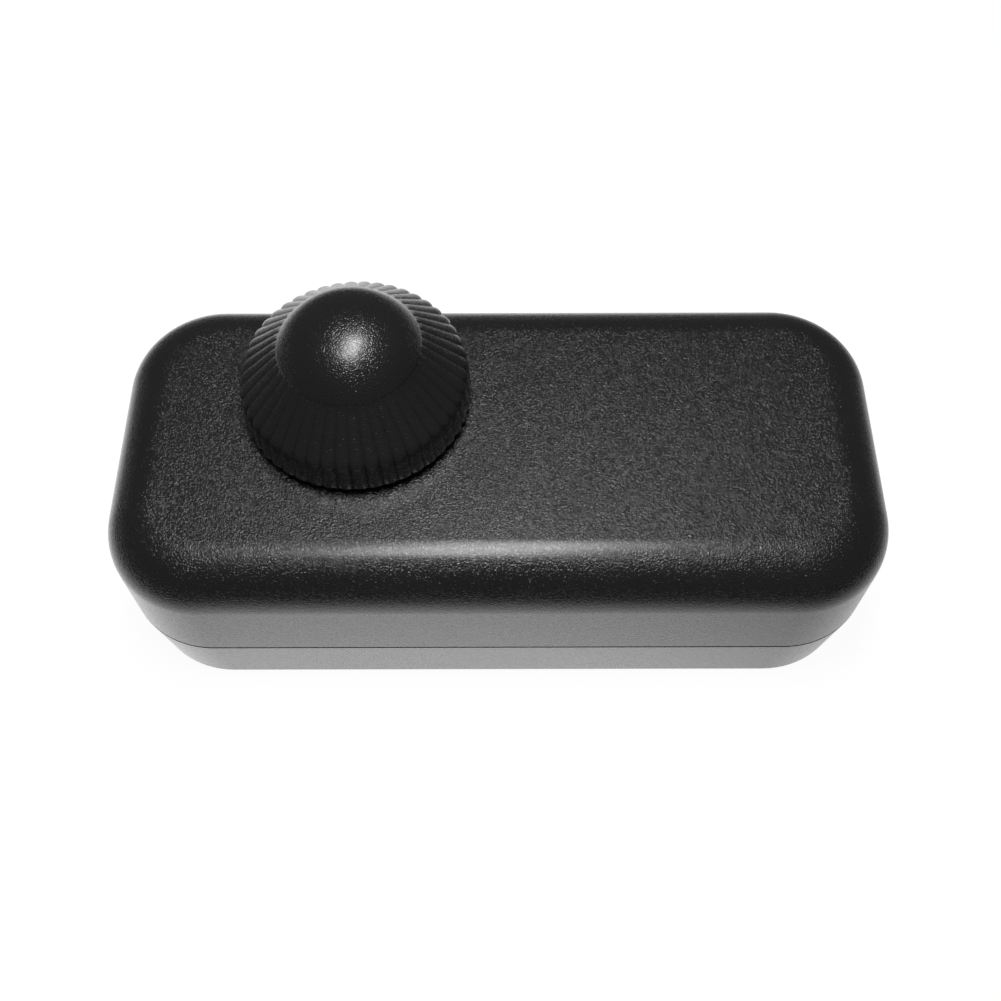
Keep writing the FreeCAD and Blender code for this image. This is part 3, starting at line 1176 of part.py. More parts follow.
def make_terminals():
    blocks, cages, screws = [], [], []
    axis = BOARD_TOP + S.pole_lift
    cage_top = axis + S.cage_size / 2
    block_top = BOARD_TOP + S.block_height
    play = S.cage_play
    room = S.cage_size + 2 * play
    cage_height = S.pole_lift + S.cage_size / 2
    for side in ENDS:
        x = side * S.block_x
        solid = box("block_solid", S.block_depth, S.block_width, S.block_height, x, 0, BOARD_TOP)
        face = x + side * S.block_depth / 2
        tools = [box("block_step_cut", S.block_step * 2, S.block_width, S.block_height,
                     face, 0, block_top - S.block_step)]
        for pole in (-1, 1):
            y = pole * S.pole_pitch / 2
            tools.append(box("block_room", S.cage_length + 2 * play, room, cage_height + play, x, y, BOARD_TOP))
            tools.append(rod("block_wire_hole", S.pole_hole, S.block_depth, face, y, axis))
            tools.append(post("block_screw_hole", S.pole_screw_head + S.bush_play, S.block_height, x, y, axis))
            cage = box("cage_solid", S.cage_length, S.cage_size, cage_height, x, y, BOARD_TOP)
            wire = rod("cage_wire_hole", S.pole_hole - S.bush_play, S.block_depth, x, y, axis)
            thread = post("cage_thread", S.pole_screw_radius + S.bore_play, S.cage_size, x, y, axis)
            pin = box("cage_pin", S.tag_width, S.tag_thickness, BOARD_TOP - LEAD_END, x, y, LEAD_END)
            cages.append(joined("cage_all", [cut("cage", cage, [wire, thread]), pin]))
            seat = block_top - S.pole_screw_head_height - S.bush_play
            screws.append(slotted_screw(
                "pole_screw", x, y, seat, S.pole_screw_head, S.pole_screw_head_height,
                S.pole_screw_radius, seat - cage_top + S.cage_size / 4))
        blocks.append(cut("block", solid, tools))
    keep(joined("block_pair", blocks), "terminal_blocks")
    keep(joined("cage_set", cages), "terminal_clamps")
    keep(joined("pole_screw_set", screws), "terminal_screws")


def make_cord_clamps():
    clamps, screws = [], []
    for side in ENDS:
        x = side * S.clamp_x
        plate = box("clamp_plate_solid", S.clamp_depth, S.clamp_width, S.clamp_plate, x, 0, S.clamp_seat)
        rise = S.parting_height - S.clamp_seat
        arch = rod("clamp_arch_rod", S.clamp_arch, S.clamp_depth, x, 0, S.parting_height)
        below = box("clamp_below", S.clamp_depth, S.clamp_width, S.clamp_arch * 2,
                    x, 0, S.clamp_seat - S.clamp_arch * 2)
        channel = rod("clamp_channel_rod", S.clamp_channel, S.clamp_depth, x, 0, S.parting_height)
        slot = box("clamp_channel_slot", S.clamp_depth, S.clamp_channel * 2, rise, x, 0, S.clamp_seat)
        tools = [below, channel, slot]
        for pole in (-1, 1):
            y = pole * S.clamp_screw_y
            hole = S.board_screw_radius + S.bush_play
            tools.append(post("clamp_screw_hole", hole, S.clamp_plate, x, y, S.clamp_seat))
            screws.append(slotted_screw(
                "clamp_screw", x, y, S.clamp_seat + S.clamp_plate, S.clamp_screw_head,
                S.board_screw_head_height, S.board_screw_radius,
                S.clamp_plate + S.board_screw_length / 2))
        clamps.append(cut("clamp", joined("clamp_solid", [plate, arch]), tools))
    keep(joined("clamp_pair", clamps), "cord_clamps")
    keep(joined("clamp_screw_set", screws), "clamp_screws")


def check_and_write():
    """Stop on any object that failed, then write one STEP file for each piece."""
    doc.recompute()
    failed = [item.Name for item in doc.Objects if "Invalid" in item.State or "Error" in item.State]
    if failed:
        raise RuntimeError(f"these objects failed: {failed}")
    os.makedirs("parts", exist_ok=True)
    for item in nodes:
        shape = item.Shape
        if shape.isNull() or not shape.isValid() or not shape.Solids:
            raise RuntimeError(f"{item.Label} is not a valid solid")
        shape.exportStep(f"parts/{item.Label}.step")
        print(f"{item.Label}: {len(shape.Solids)} solids, {shape.Volume:.1f} mm3")


make_upper_cover()
make_lower_case()
make_housing_screws()
make_knob()
make_pot_shaft()
make_pot_bushing()
make_pot_fixings()
make_pot_can()
make_pot_rotor()
make_pot_wiper()
make_pot_wafer()
make_switch()
make_circuit_board()
make_board_screws()
make_capacitor("film_capacitor", S.film_x, S.film_y, S.film_length, S.film_width,
               S.film_height, S.film_pitch)
make_capacitor("timing_capacitor", S.timing_x, S.timing_y, S.timing_length, S.timing_width,
               S.timing_height, S.timing_pitch)
make_choke()
make_triac()
make_axial_parts()
make_fuse()
make_terminals()
make_cord_clamps()
check_and_write()
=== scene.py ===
"""Builds the looks of a black in-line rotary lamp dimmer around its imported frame."""

import math

import bmesh
import bpy
from bpy.props import FloatProperty, FloatVectorProperty, IntProperty, PointerProperty
from bpy.types import Operator, Panel, PropertyGroup
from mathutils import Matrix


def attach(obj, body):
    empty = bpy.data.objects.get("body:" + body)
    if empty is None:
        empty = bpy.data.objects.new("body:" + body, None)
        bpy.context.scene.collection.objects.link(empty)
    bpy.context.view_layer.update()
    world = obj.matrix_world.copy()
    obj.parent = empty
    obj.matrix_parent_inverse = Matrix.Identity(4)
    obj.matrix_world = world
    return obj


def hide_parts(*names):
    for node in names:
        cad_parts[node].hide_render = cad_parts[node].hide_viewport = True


bl_info = {
    "name": "Rotary lamp dimmer",
    "version": (1, 0, 0),
    "blender": (4, 5, 0),
    "location": "View3D > Sidebar > Dimmer",
    "description": "Models and finishes an in-line rotary lamp dimmer around its CAD frame",
    "category": "Object",
}

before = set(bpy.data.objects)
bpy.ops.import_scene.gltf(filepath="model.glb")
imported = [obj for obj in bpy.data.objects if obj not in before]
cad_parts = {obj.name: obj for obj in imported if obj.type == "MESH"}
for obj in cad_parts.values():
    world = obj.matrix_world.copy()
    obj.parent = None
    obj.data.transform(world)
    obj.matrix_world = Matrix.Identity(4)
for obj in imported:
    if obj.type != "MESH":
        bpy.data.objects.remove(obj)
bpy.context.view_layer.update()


def length_property(name, description, millimetres):
    return FloatProperty(
        name=name, description=description, default=millimetres / 1000, unit="LENGTH", min=0.0)


def colour_property(name, description, colour):
    return FloatVectorProperty(
        name=name, description=description, default=colour, subtype="COLOR", size=3, min=0.0, max=1.0)


class HousingSizes(PropertyGroup):
    length: length_property("Length", "Housing along X at the parting line", 80.0)
    width: length_property("Width", "Housing along Y at the parting line", 36.0)
    height: length_property("Height", "Flat top of the cover above the table", 23.0)
    parting: length_property("Parting", "Height of the parting line", 9.0)
    corner: length_property("Corner", "Corner radius of the plan", 10.0)
    top_round: length_property("Top round", "Round along the top edge", 5.6)
    foot_round: length_property("Foot round", "Round along the bottom edge", 0.6)
    wall: length_property("Wall", "Thickness of the walls", 2.0)
    cover_lean: length_property("Cover lean", "How far the cover's sides lean in over their height", 0.16)
    case_lean: length_property("Case lean", "How far the case's sides lean in over their height", 0.72)
    inlet: length_property("Inlet", "Radius of the cord inlets", 3.2)
    shadow: length_property("Shadow line", "Depth of the step under the parting line", 0.35)
    shadow_height: length_property("Shadow height", "Height of the step under the parting line", 0.26)
    tongue: length_property("Tongue", "Height of the tongue on the case's rim", 1.5)


class KnobSizes(PropertyGroup):
    axis_x: FloatProperty(name="Axis X", description="Axis of the knob", default=-0.0145, unit="LENGTH")
    axis_y: FloatProperty(name="Axis Y", description="Axis of the knob", default=0.00425, unit="LENGTH")
    foot: length_property("Foot", "Lower edge of the knob above the table", 24.1)
    foot_radius: length_property("Foot radius", "Radius of the lower edge", 11.8)
    edge: length_property("Edge", "Upper edge of the side above the table", 27.6)
    edge_radius: length_property("Edge radius", "Radius of the upper edge of the side", 11.45)
    crease: length_property("Crease", "Foot of the dome above the table", 32.0)
    crease_radius: length_property("Crease radius", "Radius of the foot of the dome", 7.15)
    top: length_property("Top", "Top of the dome above the table", 36.0)
    crown: length_property("Crown", "Radius of the dome's curve at its top", 9.6)
    wall: length_property("Wall", "Thickness of the skirt", 1.6)
    hub_radius: length_property("Hub radius", "Radius of the hub inside", 4.6)
    hub_foot: length_property("Hub foot", "Lower end of the hub above the table", 27.4)
    bore_radius: length_property("Bore radius", "Radius of the hub's bore", 3.02)
    bore_end: length_property("Bore end", "End of the bore above the table", 33.2)
    ribs: IntProperty(name="Ribs", description="Ribs around the knob", default=48, min=8)
    rib_depth: length_property("Rib depth", "Depth between the ribs on the side", 0.3)
    crease_depth: length_property("Crease depth", "Depth between the ribs at the crease", 0.14)
    turn: FloatProperty(
        name="Turn", description="How the ribs stand at rest", default=math.radians(-1.1), unit="ROTATION")


class Looks(PropertyGroup):
    plastic: colour_property("Housing plastic", "Colour of cover and case", (0.009, 0.009, 0.0095))
    knob: colour_property("Knob plastic", "Colour of the knob", (0.009, 0.009, 0.0095))
    grain: length_property("Grain", "Size of the spark-eroded grain", 0.14)
    floor: colour_property("Floor", "Colour of the floor under the glow", (0.16, 0.16, 0.16))


# Selecting and shaping
SAME_PLACE = 1e-6
LEVEL_SLACK = 2e-5
UPRIGHT = 0.99


def deselect():
    bpy.ops.object.select_all(action="DESELECT")


def start(name, add, **settings):
    """Adds one primitive on its own and puts its place into its mesh."""
    if bpy.context.mode != "OBJECT":
        raise RuntimeError(f"{name} was started inside another piece")
    deselect()
    add(**settings)
    piece = bpy.context.object
    piece.name = name
    piece.data.name = name
    bpy.ops.object.transform_apply(location=True, rotation=True, scale=True)
    return piece


def edit(piece):
    deselect()
    bpy.context.view_layer.objects.active = piece
    piece.select_set(True)
    bpy.ops.object.mode_set(mode="EDIT")


def leave():
    bpy.ops.object.mode_set(mode="OBJECT")


def pick(piece, kind, test):
    """Selects the vertices, edges or faces that pass a test, in edit mode."""
    mesh = bmesh.from_edit_mesh(piece.data)
    bpy.ops.mesh.select_mode(type=kind)
    mesh.select_mode = {kind}
    for group in (mesh.verts, mesh.edges, mesh.faces):
        for item in group:
            item.select = False
    group = {"VERT": mesh.verts, "EDGE": mesh.edges, "FACE": mesh.faces}[kind]
    picked = [item for item in group if test(item)]
    if not picked:
        raise RuntimeError(f"nothing to pick on {piece.name}")
    for item in picked:
        item.select_set(True)
    mesh.select_flush_mode()
    bmesh.update_edit_mesh(piece.data)


def middle(face):
    total = face.verts[0].co.copy()
    for vert in face.verts[1:]:
        total += vert.co
    return total / len(face.verts)


def level(height):
    """A test for what lies wholly at one height."""
    return lambda item: all(abs(vert.co.z - height) < LEVEL_SLACK for vert in item.verts)


def apply_modifier(piece, kind, **settings):
    deselect()
    bpy.context.view_layer.objects.active = piece
    piece.select_set(True)
    modifier = piece.modifiers.new(kind.title(), kind)
    for key, value in settings.items():
        setattr(modifier, key, value)
    bpy.ops.object.modifier_apply(modifier=modifier.name)


def combine(piece, other, operation):
    """Adds or cuts another solid and removes it."""
    apply_modifier(piece, "BOOLEAN", object=other, operation=operation, solver="EXACT")
    bpy.data.objects.remove(other)
    if not piece.data.polygons:
        raise RuntimeError(f"{piece.name} is empty after {operation}")


def merge(pieces, name):
    """Joins several solids into one object."""
    deselect()
    for piece in pieces:
        piece.select_set(True)
    bpy.context.view_layer.objects.active = pieces[0]
    if len(pieces) > 1:
        bpy.ops.object.join()
    pieces[0].name = name
    pieces[0].data.name = name
    return pieces[0]


def smooth(piece, degrees=32):
    """Smooth shading up to an angle, with flat faces kept flat."""
    deselect()
    bpy.context.view_layer.objects.active = piece
    piece.select_set(True)
    bpy.ops.object.shade_smooth_by_angle(angle=math.radians(degrees))
    apply_modifier(piece, "WEIGHTED_NORMAL", keep_sharp=True, weight=80)


def column(name, radius, low, high, x=0.0, y=0.0, sides=48):
    """An upright cylinder between two heights."""
    return start(name, bpy.ops.mesh.primitive_cylinder_add, vertices=sides, radius=radius,
                 depth=high - low, location=(x, y, (low + high) / 2))


def sleeper(name, radius, length, height, sides):
    """A cylinder that lies along X at a height."""
    return start(name, bpy.ops.mesh.primitive_cylinder_add, vertices=sides, radius=radius,
                 depth=length, location=(0.0, 0.0, height), rotation=(0.0, math.radians(90), 0.0))


def lathe(name, profile, steps, axis_x, axis_y):
    """Turns a profile of radius and height around an upright axis."""
    radius, height = profile[0]
    piece = start(name, bpy.ops.mesh.primitive_circle_add, vertices=3, radius=0.001, location=(0, 0, 0))
    edit(piece)
    pick(piece, "VERT", lambda vert: True)
    bpy.ops.mesh.merge(type="CENTER")
    pick(piece, "VERT", lambda vert: True)
    bpy.ops.transform.translate(value=(axis_x + radius, axis_y, height))
    for (r0, z0), (r1, z1) in zip(profile, profile[1:]):
        bpy.ops.mesh.extrude_region_move(TRANSFORM_OT_translate={"value": (r1 - r0, 0.0, z1 - z0)})
    bpy.ops.mesh.select_all(action="SELECT")
    bpy.ops.mesh.spin(steps=steps, angle=math.tau, center=(axis_x, axis_y, 0.0), axis=(0.0, 0.0, 1.0))
    bpy.ops.mesh.select_all(action="SELECT")
    bpy.ops.mesh.remove_doubles(threshold=SAME_PLACE)
    bpy.ops.mesh.normals_make_consistent(inside=False)
    leave()
    return piece


# Finishes
def new_material(name):
    material = bpy.data.materials.new(name)
    material.use_nodes = True
    nodes = material.node_tree.nodes
    nodes.clear()
    output = nodes.new("ShaderNodeOutputMaterial")
    shader = nodes.new("ShaderNodeBsdfPrincipled")
    material.node_tree.links.new(shader.outputs["BSDF"], output.inputs["Surface"])
    place = nodes.new("ShaderNodeTexCoord")
    mapping = nodes.new("ShaderNodeMapping")
    material.node_tree.links.new(place.outputs["Object"], mapping.inputs["Vector"])
    return material, shader, mapping


def join_nodes(material, source, target):
    material.node_tree.links.new(source, target)


def noise(material, mapping, scale, detail=3.0, roughness=0.5):
    node = material.node_tree.nodes.new("ShaderNodeTexNoise")
    node.inputs["Scale"].default_value = scale
    node.inputs["Detail"].default_value = detail
    node.inputs["Roughness"].default_value = roughness
    join_nodes(material, mapping.outputs["Vector"], node.inputs["Vector"])
    return node.outputs["Fac"]


def cells(material, mapping, scale, smoothness=0.6):
    node = material.node_tree.nodes.new("ShaderNodeTexVoronoi")
    node.feature = "SMOOTH_F1"
    node.inputs["Scale"].default_value = scale
    node.inputs["Smoothness"].default_value = smoothness
    join_nodes(material, mapping.outputs["Vector"], node.inputs["Vector"])
    return node.outputs["Distance"]


def ramp(material, value, low, high, start_at=0.3, end_at=0.7):
    """Maps a pattern to a range of numbers."""
    node = material.node_tree.nodes.new("ShaderNodeMapRange")
    node.inputs["From Min"].default_value = start_at
    node.inputs["From Max"].default_value = end_at
    node.inputs["To Min"].default_value = low
    node.inputs["To Max"].default_value = high
    join_nodes(material, value, node.inputs["Value"])
    return node.outputs["Result"]


def blend_colours(material, value, first, second):
    node = material.node_tree.nodes.new("ShaderNodeValToRGB")
    node.color_ramp.elements[0].position = 0.35
    node.color_ramp.elements[0].color = (*first, 1.0)
    node.color_ramp.elements[1].position = 0.65
    node.color_ramp.elements[1].color = (*second, 1.0)
    join_nodes(material, value, node.inputs["Fac"])
    return node.outputs["Color"]


def bump(material, shader, layers):
    """Stacks bump layers of (height, distance, strength) on a shader."""
    normal = None
    for height, distance, strength in layers:
        node = material.node_tree.nodes.new("ShaderNodeBump")
        node.inputs["Distance"].default_value = distance
        node.inputs["Strength"].default_value = strength
        join_nodes(material, height, node.inputs["Height"])
        if normal is not None:
            join_nodes(material, normal, node.inputs["Normal"])
        normal = node.outputs["Normal"]
    join_nodes(material, normal, shader.inputs["Normal"])


def tone(colour, factor):
    return tuple(min(1.0, channel * factor) for channel in colour)


OUTER_ROUGHNESS = 0.25
OUTER_SPECULAR = 0.8
OUTER_COAT = 1.0
HOUSING_GRAIN_HEIGHT = 0.00007
KNOB_GRAIN_HEIGHT = 0.00005


def moulded_plastic(name, colour, roughness, grain, grain_height, specular=0.5, coat=0.0):
    """Satin plastic with a sandy grain, faint mottling and a slightly uneven gloss."""
    material, shader, mapping = new_material(name)
    sand = noise(material, mapping, 1.0 / grain, 0.0)
    pits = cells(material, mapping, 0.75 / grain)
    cloud = noise(material, mapping, 120.0, 3.0)
    mottle = noise(material, mapping, 0.35 / grain, 2.0)
    tint = blend_colours(material, cloud, tone(colour, 0.85), tone(colour, 1.2))
    join_nodes(material, tint, shader.inputs["Base Color"])
    gloss = ramp(material, mottle, roughness - 0.04, roughness + 0.04)
    join_nodes(material, gloss, shader.inputs["Roughness"])
    shader.inputs["Specular IOR Level"].default_value = specular
    shader.inputs["Coat Weight"].default_value = coat
    shader.inputs["Coat Roughness"].default_value = roughness
    bump(material, shader, [(pits, grain_height, 0.5), (sand, grain_height, 1.0)])
    return material


def smooth_coating(name, colour, roughness, waviness=0.00002):
    """Lacquer, epoxy or glossy moulding with a soft waviness."""
    material, shader, mapping = new_material(name)
    cloud = noise(material, mapping, 300.0, 3.0)
    fine = noise(material, mapping, 2500.0, 2.0)
    tint = blend_colours(material, cloud, tone(colour, 0.88), tone(colour, 1.08))
    join_nodes(material, tint, shader.inputs["Base Color"])
    gloss = ramp(material, fine, roughness - 0.04, roughness + 0.06)
    join_nodes(material, gloss, shader.inputs["Roughness"])
    bump(material, shader, [(cloud, waviness, 0.6), (fine, waviness / 4, 0.5)])
    return material


def metal(name, colour, roughness, stretch=(1.0, 1.0, 1.0), fineness=1500.0):
    """Metal with drawn or brushed lines along the axis that is stretched least."""
    material, shader, mapping = new_material(name)
    mapping.inputs["Scale"].default_value = stretch
    lines = noise(material, mapping, fineness, 4.0, 0.65)
    stain = noise(material, mapping, fineness / 9, 2.0)
    tint = blend_colours(material, stain, tone(colour, 0.86), tone(colour, 1.08))
    join_nodes(material, tint, shader.inputs["Base Color"])
    gloss = ramp(material, lines, roughness - 0.06, roughness + 0.1)
    join_nodes(material, gloss, shader.inputs["Roughness"])
    shader.inputs["Metallic"].default_value = 1.0
    bump(material, shader, [(lines, 0.000006, 0.5)])
    return material


def laminate(name, colour, darker):
    """Pressed sheet with a cloth weave under its surface."""
    material, shader, mapping = new_material(name)
    weave = material.node_tree.nodes.new("ShaderNodeTexBrick")
    weave.inputs["Scale"].default_value = 1400.0
    weave.inputs["Mortar Size"].default_value = 0.03
    weave.inputs["Color1"].default_value = (*colour, 1.0)
    weave.inputs["Color2"].default_value = (*tone(colour, 0.9), 1.0)
    weave.inputs["Mortar"].default_value = (*darker, 1.0)
    join_nodes(material, mapping.outputs["Vector"], weave.inputs["Vector"])
    cloud = noise(material, mapping, 260.0, 3.0)
    join_nodes(material, weave.outputs["Color"], shader.inputs["Base Color"])
    join_nodes(material, ramp(material, cloud, 0.38, 0.55), shader.inputs["Roughness"])
    bump(material, shader, [(weave.outputs["Fac"], 0.000008, 0.4), (cloud, 0.00001, 0.4)])
    return material


def clear_glass(name, colour):
    """Drawn glass with faint ripples."""
    material, shader, mapping = new_material(name)
    mapping.inputs["Scale"].default_value = (0.2, 1.0, 1.0)
    ripple = noise(material, mapping, 700.0, 2.0)
    shader.inputs["Base Color"].default_value = (*colour, 1.0)
    shader.inputs["Transmission Weight"].default_value = 0.9
    shader.inputs["IOR"].default_value = 1.5
    join_nodes(material, ramp(material, ripple, 0.02, 0.07), shader.inputs["Roughness"])
    bump(material, shader, [(ripple, 0.000008, 0.4)])
    return material


def coat_node(node, material):
    """Gives a CAD node its finish in every slot."""
    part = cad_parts[node]
    if not part.material_slots:
        part.data.materials.append(material)
    for slot in part.material_slots:
        slot.material = material


def finish_piece(piece, material, body, slot, *nodes):
    """Finishes a new piece that stands for one or more CAD nodes."""
    piece.data.materials.clear()
    piece.data.materials.append(material)
    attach(piece, body)
    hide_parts(*nodes)


# Housing
# Inner sizes in metres, and how finely rounds and cylinders are divided
CORNER_SEGMENTS = 20
TOP_ROUND_SEGMENTS = 28
FOOT_ROUND_SEGMENTS = 6
CEILING_ROUND_SEGMENTS = 3
HOLE_SIDES = 64
SMALL_SIDES = 32
BOSS_X = 0.0315
BOSS_Y = 0.011
OVERLAP = 0.0003
PAST_END = 0.01
TONGUE_PLAY = 0.0001
CEILING_ROUND = 0.0022
COVER_BOSS_RADIUS = 0.003
BOSS_CORE_INSET = 0.0015
BOSS_CORE_DEPTH = 0.009
SEAT_RADIUS = 0.0056
SEAT_HEIGHT = 0.0008
SPINDLE_HOLE_RADIUS = 0.0036
PAST_ROOF = 0.002
CASE_FLOOR = 0.002
RIM_TO_TONGUE = 0.0011
TONGUE_THICKNESS = 0.0009
CASE_BOSS_RADIUS = 0.0039
POST_RADIUS = 0.0019
POST_TOP = 0.005
POST_X = 0.0246
POST_Y = 0.0122
CLAMP_X = 0.035
STAND_RADIUS = 0.00165
STAND_TOP = 0.0082
STAND_Y = 0.0053
SADDLE_MIDDLE = 0.00375
SADDLE_SIZE = (0.0012, 0.0064, 0.0041)
SCREW_HOLE_RADIUS = 0.0017
SCREW_HOLE_FOOT = 0.003
WELL_RADIUS = 0.00295
WELL_TOP = 0.0036
PAST_FACE = 0.001


def rounded_block(name, sizes, low, high):
    """A block on the housing's plan."""
    size = (sizes.length, sizes.width, high - low)
    place = (0, 0, (low + high) / 2)
    block = start(name, bpy.ops.mesh.primitive_cube_add, size=1.0, location=place, scale=size)
    edit(block)
    pick(block, "EDGE", lambda edge: abs(edge.verts[0].co.z - edge.verts[1].co.z) > (high - low) / 2)
    bpy.ops.mesh.bevel(offset=sizes.corner, segments=CORNER_SEGMENTS, affect="EDGES", clamp_overlap=False)
    leave()
    return block


def lean_ring(block, sizes, height, lean):
    """Draws the rim at one height inward by the lean."""
    edit(block)
    pick(block, "VERT", lambda vert: abs(vert.co.z - height) < SAME_PLACE)
    factors = (1 - 2 * lean / sizes.length, 1 - 2 * lean / sizes.width, 1.0)
    bpy.ops.transform.resize(value=factors, center_override=(0, 0, height))
    leave()


def step_face(block, height, steps):
    """Insets and pushes the level face at a height, one (inset, rise) after another."""
    edit(block)
    pick(block, "FACE",
         lambda face: abs(middle(face).z - height) < SAME_PLACE and abs(face.normal.z) > UPRIGHT)
    for inset, rise in steps:
        if inset:
            bpy.ops.mesh.inset(thickness=inset, depth=0.0, use_even_offset=True)
        if rise:
            bpy.ops.mesh.extrude_region_move(TRANSFORM_OT_translate={"value": (0.0, 0.0, rise)})
    leave()


def bevel_level(block, height, size, segments):
    """Bevels the outline edges that lie at one height."""
    edit(block)

    def outline(edge):
        if not level(height)(edge):
            return False
        flat = [abs(face.normal.z) > UPRIGHT for face in edge.link_faces]
        return flat.count(True) == 1

    pick(block, "EDGE", outline)
    bpy.ops.mesh.bevel(offset=size, segments=segments, affect="EDGES", clamp_overlap=False)
    leave()


class MakeCover(Operator):
    """Models the upper cover of the housing"""
    bl_idname = "dimmer.cover"
    bl_label = "Cover"

    def execute(self, context):
        sizes = context.scene.dimmer_housing
        knob = context.scene.dimmer_knob
        looks = context.scene.dimmer_looks
        cover = rounded_block("cover", sizes, sizes.parting, sizes.height)
        lean_ring(cover, sizes, sizes.height, sizes.cover_lean)
        bevel_level(cover, sizes.height, sizes.top_round, TOP_ROUND_SEGMENTS)
        rebate = sizes.wall / 2
        ceiling = sizes.height - sizes.wall
        step_face(cover, sizes.parting, [
            (rebate, sizes.tongue + TONGUE_PLAY),
            (sizes.wall - rebate, ceiling - sizes.parting - sizes.tongue - TONGUE_PLAY)])
        bevel_level(cover, ceiling, CEILING_ROUND, CEILING_ROUND_SEGMENTS)
        bosses = []
        for x, y in boss_places():
            boss = column("boss", COVER_BOSS_RADIUS, sizes.parting, ceiling + OVERLAP, x, y)
            step_face(boss, sizes.parting, [(BOSS_CORE_INSET, BOSS_CORE_DEPTH)])
            bosses.append(boss)
        axis = (knob.axis_x, knob.axis_y)
        seat = column("seat", SEAT_RADIUS, ceiling - SEAT_HEIGHT, ceiling + OVERLAP, *axis, HOLE_SIDES)
        combine(cover, merge(bosses + [seat], "cover_inside"), "UNION")
        hole = column("spindle_hole", SPINDLE_HOLE_RADIUS, ceiling - PAST_ROOF,
                      sizes.height + PAST_ROOF, *axis, HOLE_SIDES)
        inlets = sleeper("inlets", sizes.inlet, sizes.length + PAST_END, sizes.parting, HOLE_SIDES)
        combine(cover, merge([hole, inlets], "cover_cuts"), "DIFFERENCE")
        smooth(cover)
        plastic = moulded_plastic(
            "satin_black_housing", tuple(looks.plastic), OUTER_ROUGHNESS, looks.grain,
            HOUSING_GRAIN_HEIGHT, OUTER_SPECULAR, OUTER_COAT)
        finish_piece(cover, plastic, "housing", "housing_plastic", "upper_cover")
        return {"FINISHED"}


def boss_places():
    return [(sx * BOSS_X, sy * BOSS_Y) for sx in (-1, 1) for sy in (-1, 1)]


class MakeCase(Operator):
    """Models the lower case of the housing"""
    bl_idname = "dimmer.case"
    bl_label = "Case"

    def execute(self, context):
        sizes = context.scene.dimmer_housing
        shoulder = sizes.parting - sizes.shadow_height
        case = rounded_block("case", sizes, 0.0, shoulder)
        lean_ring(case, sizes, 0.0, sizes.case_lean)
        bevel_level(case, 0.0, sizes.foot_round, FOOT_ROUND_SEGMENTS)
        root = CASE_FLOOR - OVERLAP
        step_face(case, shoulder, [
            (sizes.shadow, sizes.shadow_height),
            (RIM_TO_TONGUE - sizes.shadow, sizes.tongue),
            (TONGUE_THICKNESS, -(sizes.parting + sizes.tongue - CASE_FLOOR))])
        adds = []
        for x, y in boss_places():
            adds.append(column("boss", CASE_BOSS_RADIUS, root, sizes.parting, x, y))
        for sx in (-1, 1):
            for sy in (-1, 1):
                post = (POST_RADIUS, root, POST_TOP, sx * POST_X, sy * POST_Y)
                stand = (STAND_RADIUS, root, STAND_TOP, sx * CLAMP_X, sy * STAND_Y)
                adds.append(column("post", *post, SMALL_SIDES))
                adds.append(column("stand", *stand, SMALL_SIDES))
            adds.append(start("saddle", bpy.ops.mesh.primitive_cube_add, size=1.0,
                              location=(sx * CLAMP_X, 0, SADDLE_MIDDLE), scale=SADDLE_SIZE))
        combine(case, merge(adds, "case_inside"), "UNION")
        cuts = [sleeper("inlets", sizes.inlet, sizes.length + PAST_END, sizes.parting, HOLE_SIDES)]
        for x, y in boss_places():
            cuts.append(column("screw_hole", SCREW_HOLE_RADIUS, SCREW_HOLE_FOOT,
                               sizes.parting + PAST_FACE, x, y, SMALL_SIDES))
        combine(case, merge(cuts, "case_cuts"), "DIFFERENCE")
        wells = [column("well", WELL_RADIUS, -PAST_FACE, WELL_TOP, x, y) for x, y in boss_places()]
        combine(case, merge(wells, "case_wells"), "DIFFERENCE")
        smooth(case)
        plastic = bpy.data.materials["satin_black_housing"]
        finish_piece(case, plastic, "housing", "housing_plastic", "lower_case")
        return {"FINISHED"}


# Knob
RIB_COLUMNS = 8
RIB_ROUNDNESS = 0.6
SIDE_SHARES = (0.3, 0.65, 0.95)
CONE_SHARES = (0.03, 0.12, 0.3, 0.5, 0.7, 0.88, 1.0)
SOFT_EDGE = 0.00018
ROOF = 0.0012


def rib_share(column_index):
    """Share of the full depth at a column of a rib, from the valley at 0 to the ridge halfway."""
    return 1 - math.sin(math.pi * column_index / RIB_COLUMNS) ** RIB_ROUNDNESS


def ribbed_rings(sizes):
    """Radius, height and depth between the ribs, from the knob's foot up to the crease."""
    rings = [(sizes.foot_radius, sizes.foot + SOFT_EDGE, sizes.rib_depth)]
    for share in SIDE_SHARES:
        radius = sizes.foot_radius + (sizes.edge_radius - sizes.foot_radius) * share
        rings.append((radius, sizes.foot + (sizes.edge - sizes.foot) * share, sizes.rib_depth))
    for share in CONE_SHARES:
        radius = sizes.edge_radius + (sizes.crease_radius - sizes.edge_radius) * share
        depth = sizes.rib_depth + (sizes.crease_depth - sizes.rib_depth) * share
        rings.append((radius, sizes.edge + (sizes.crease - sizes.edge) * share, depth))
    return rings


def dome_points(sizes, steps=14):
    """The dome from the crease to the axis: round at the top and steeper towards the crease."""
    rise = sizes.top - sizes.crease
    steeper = (rise - sizes.crease_radius ** 2 / (2 * sizes.crown)) / sizes.crease_radius ** 4
    points = []
    for i in range(1, steps + 1):
        radius = sizes.crease_radius * math.cos(math.pi / 2 * i / steps)
        points.append((radius, sizes.top - radius ** 2 / (2 * sizes.crown) - steeper * radius ** 4))
    points[-1] = (0.0, sizes.top)
    return points


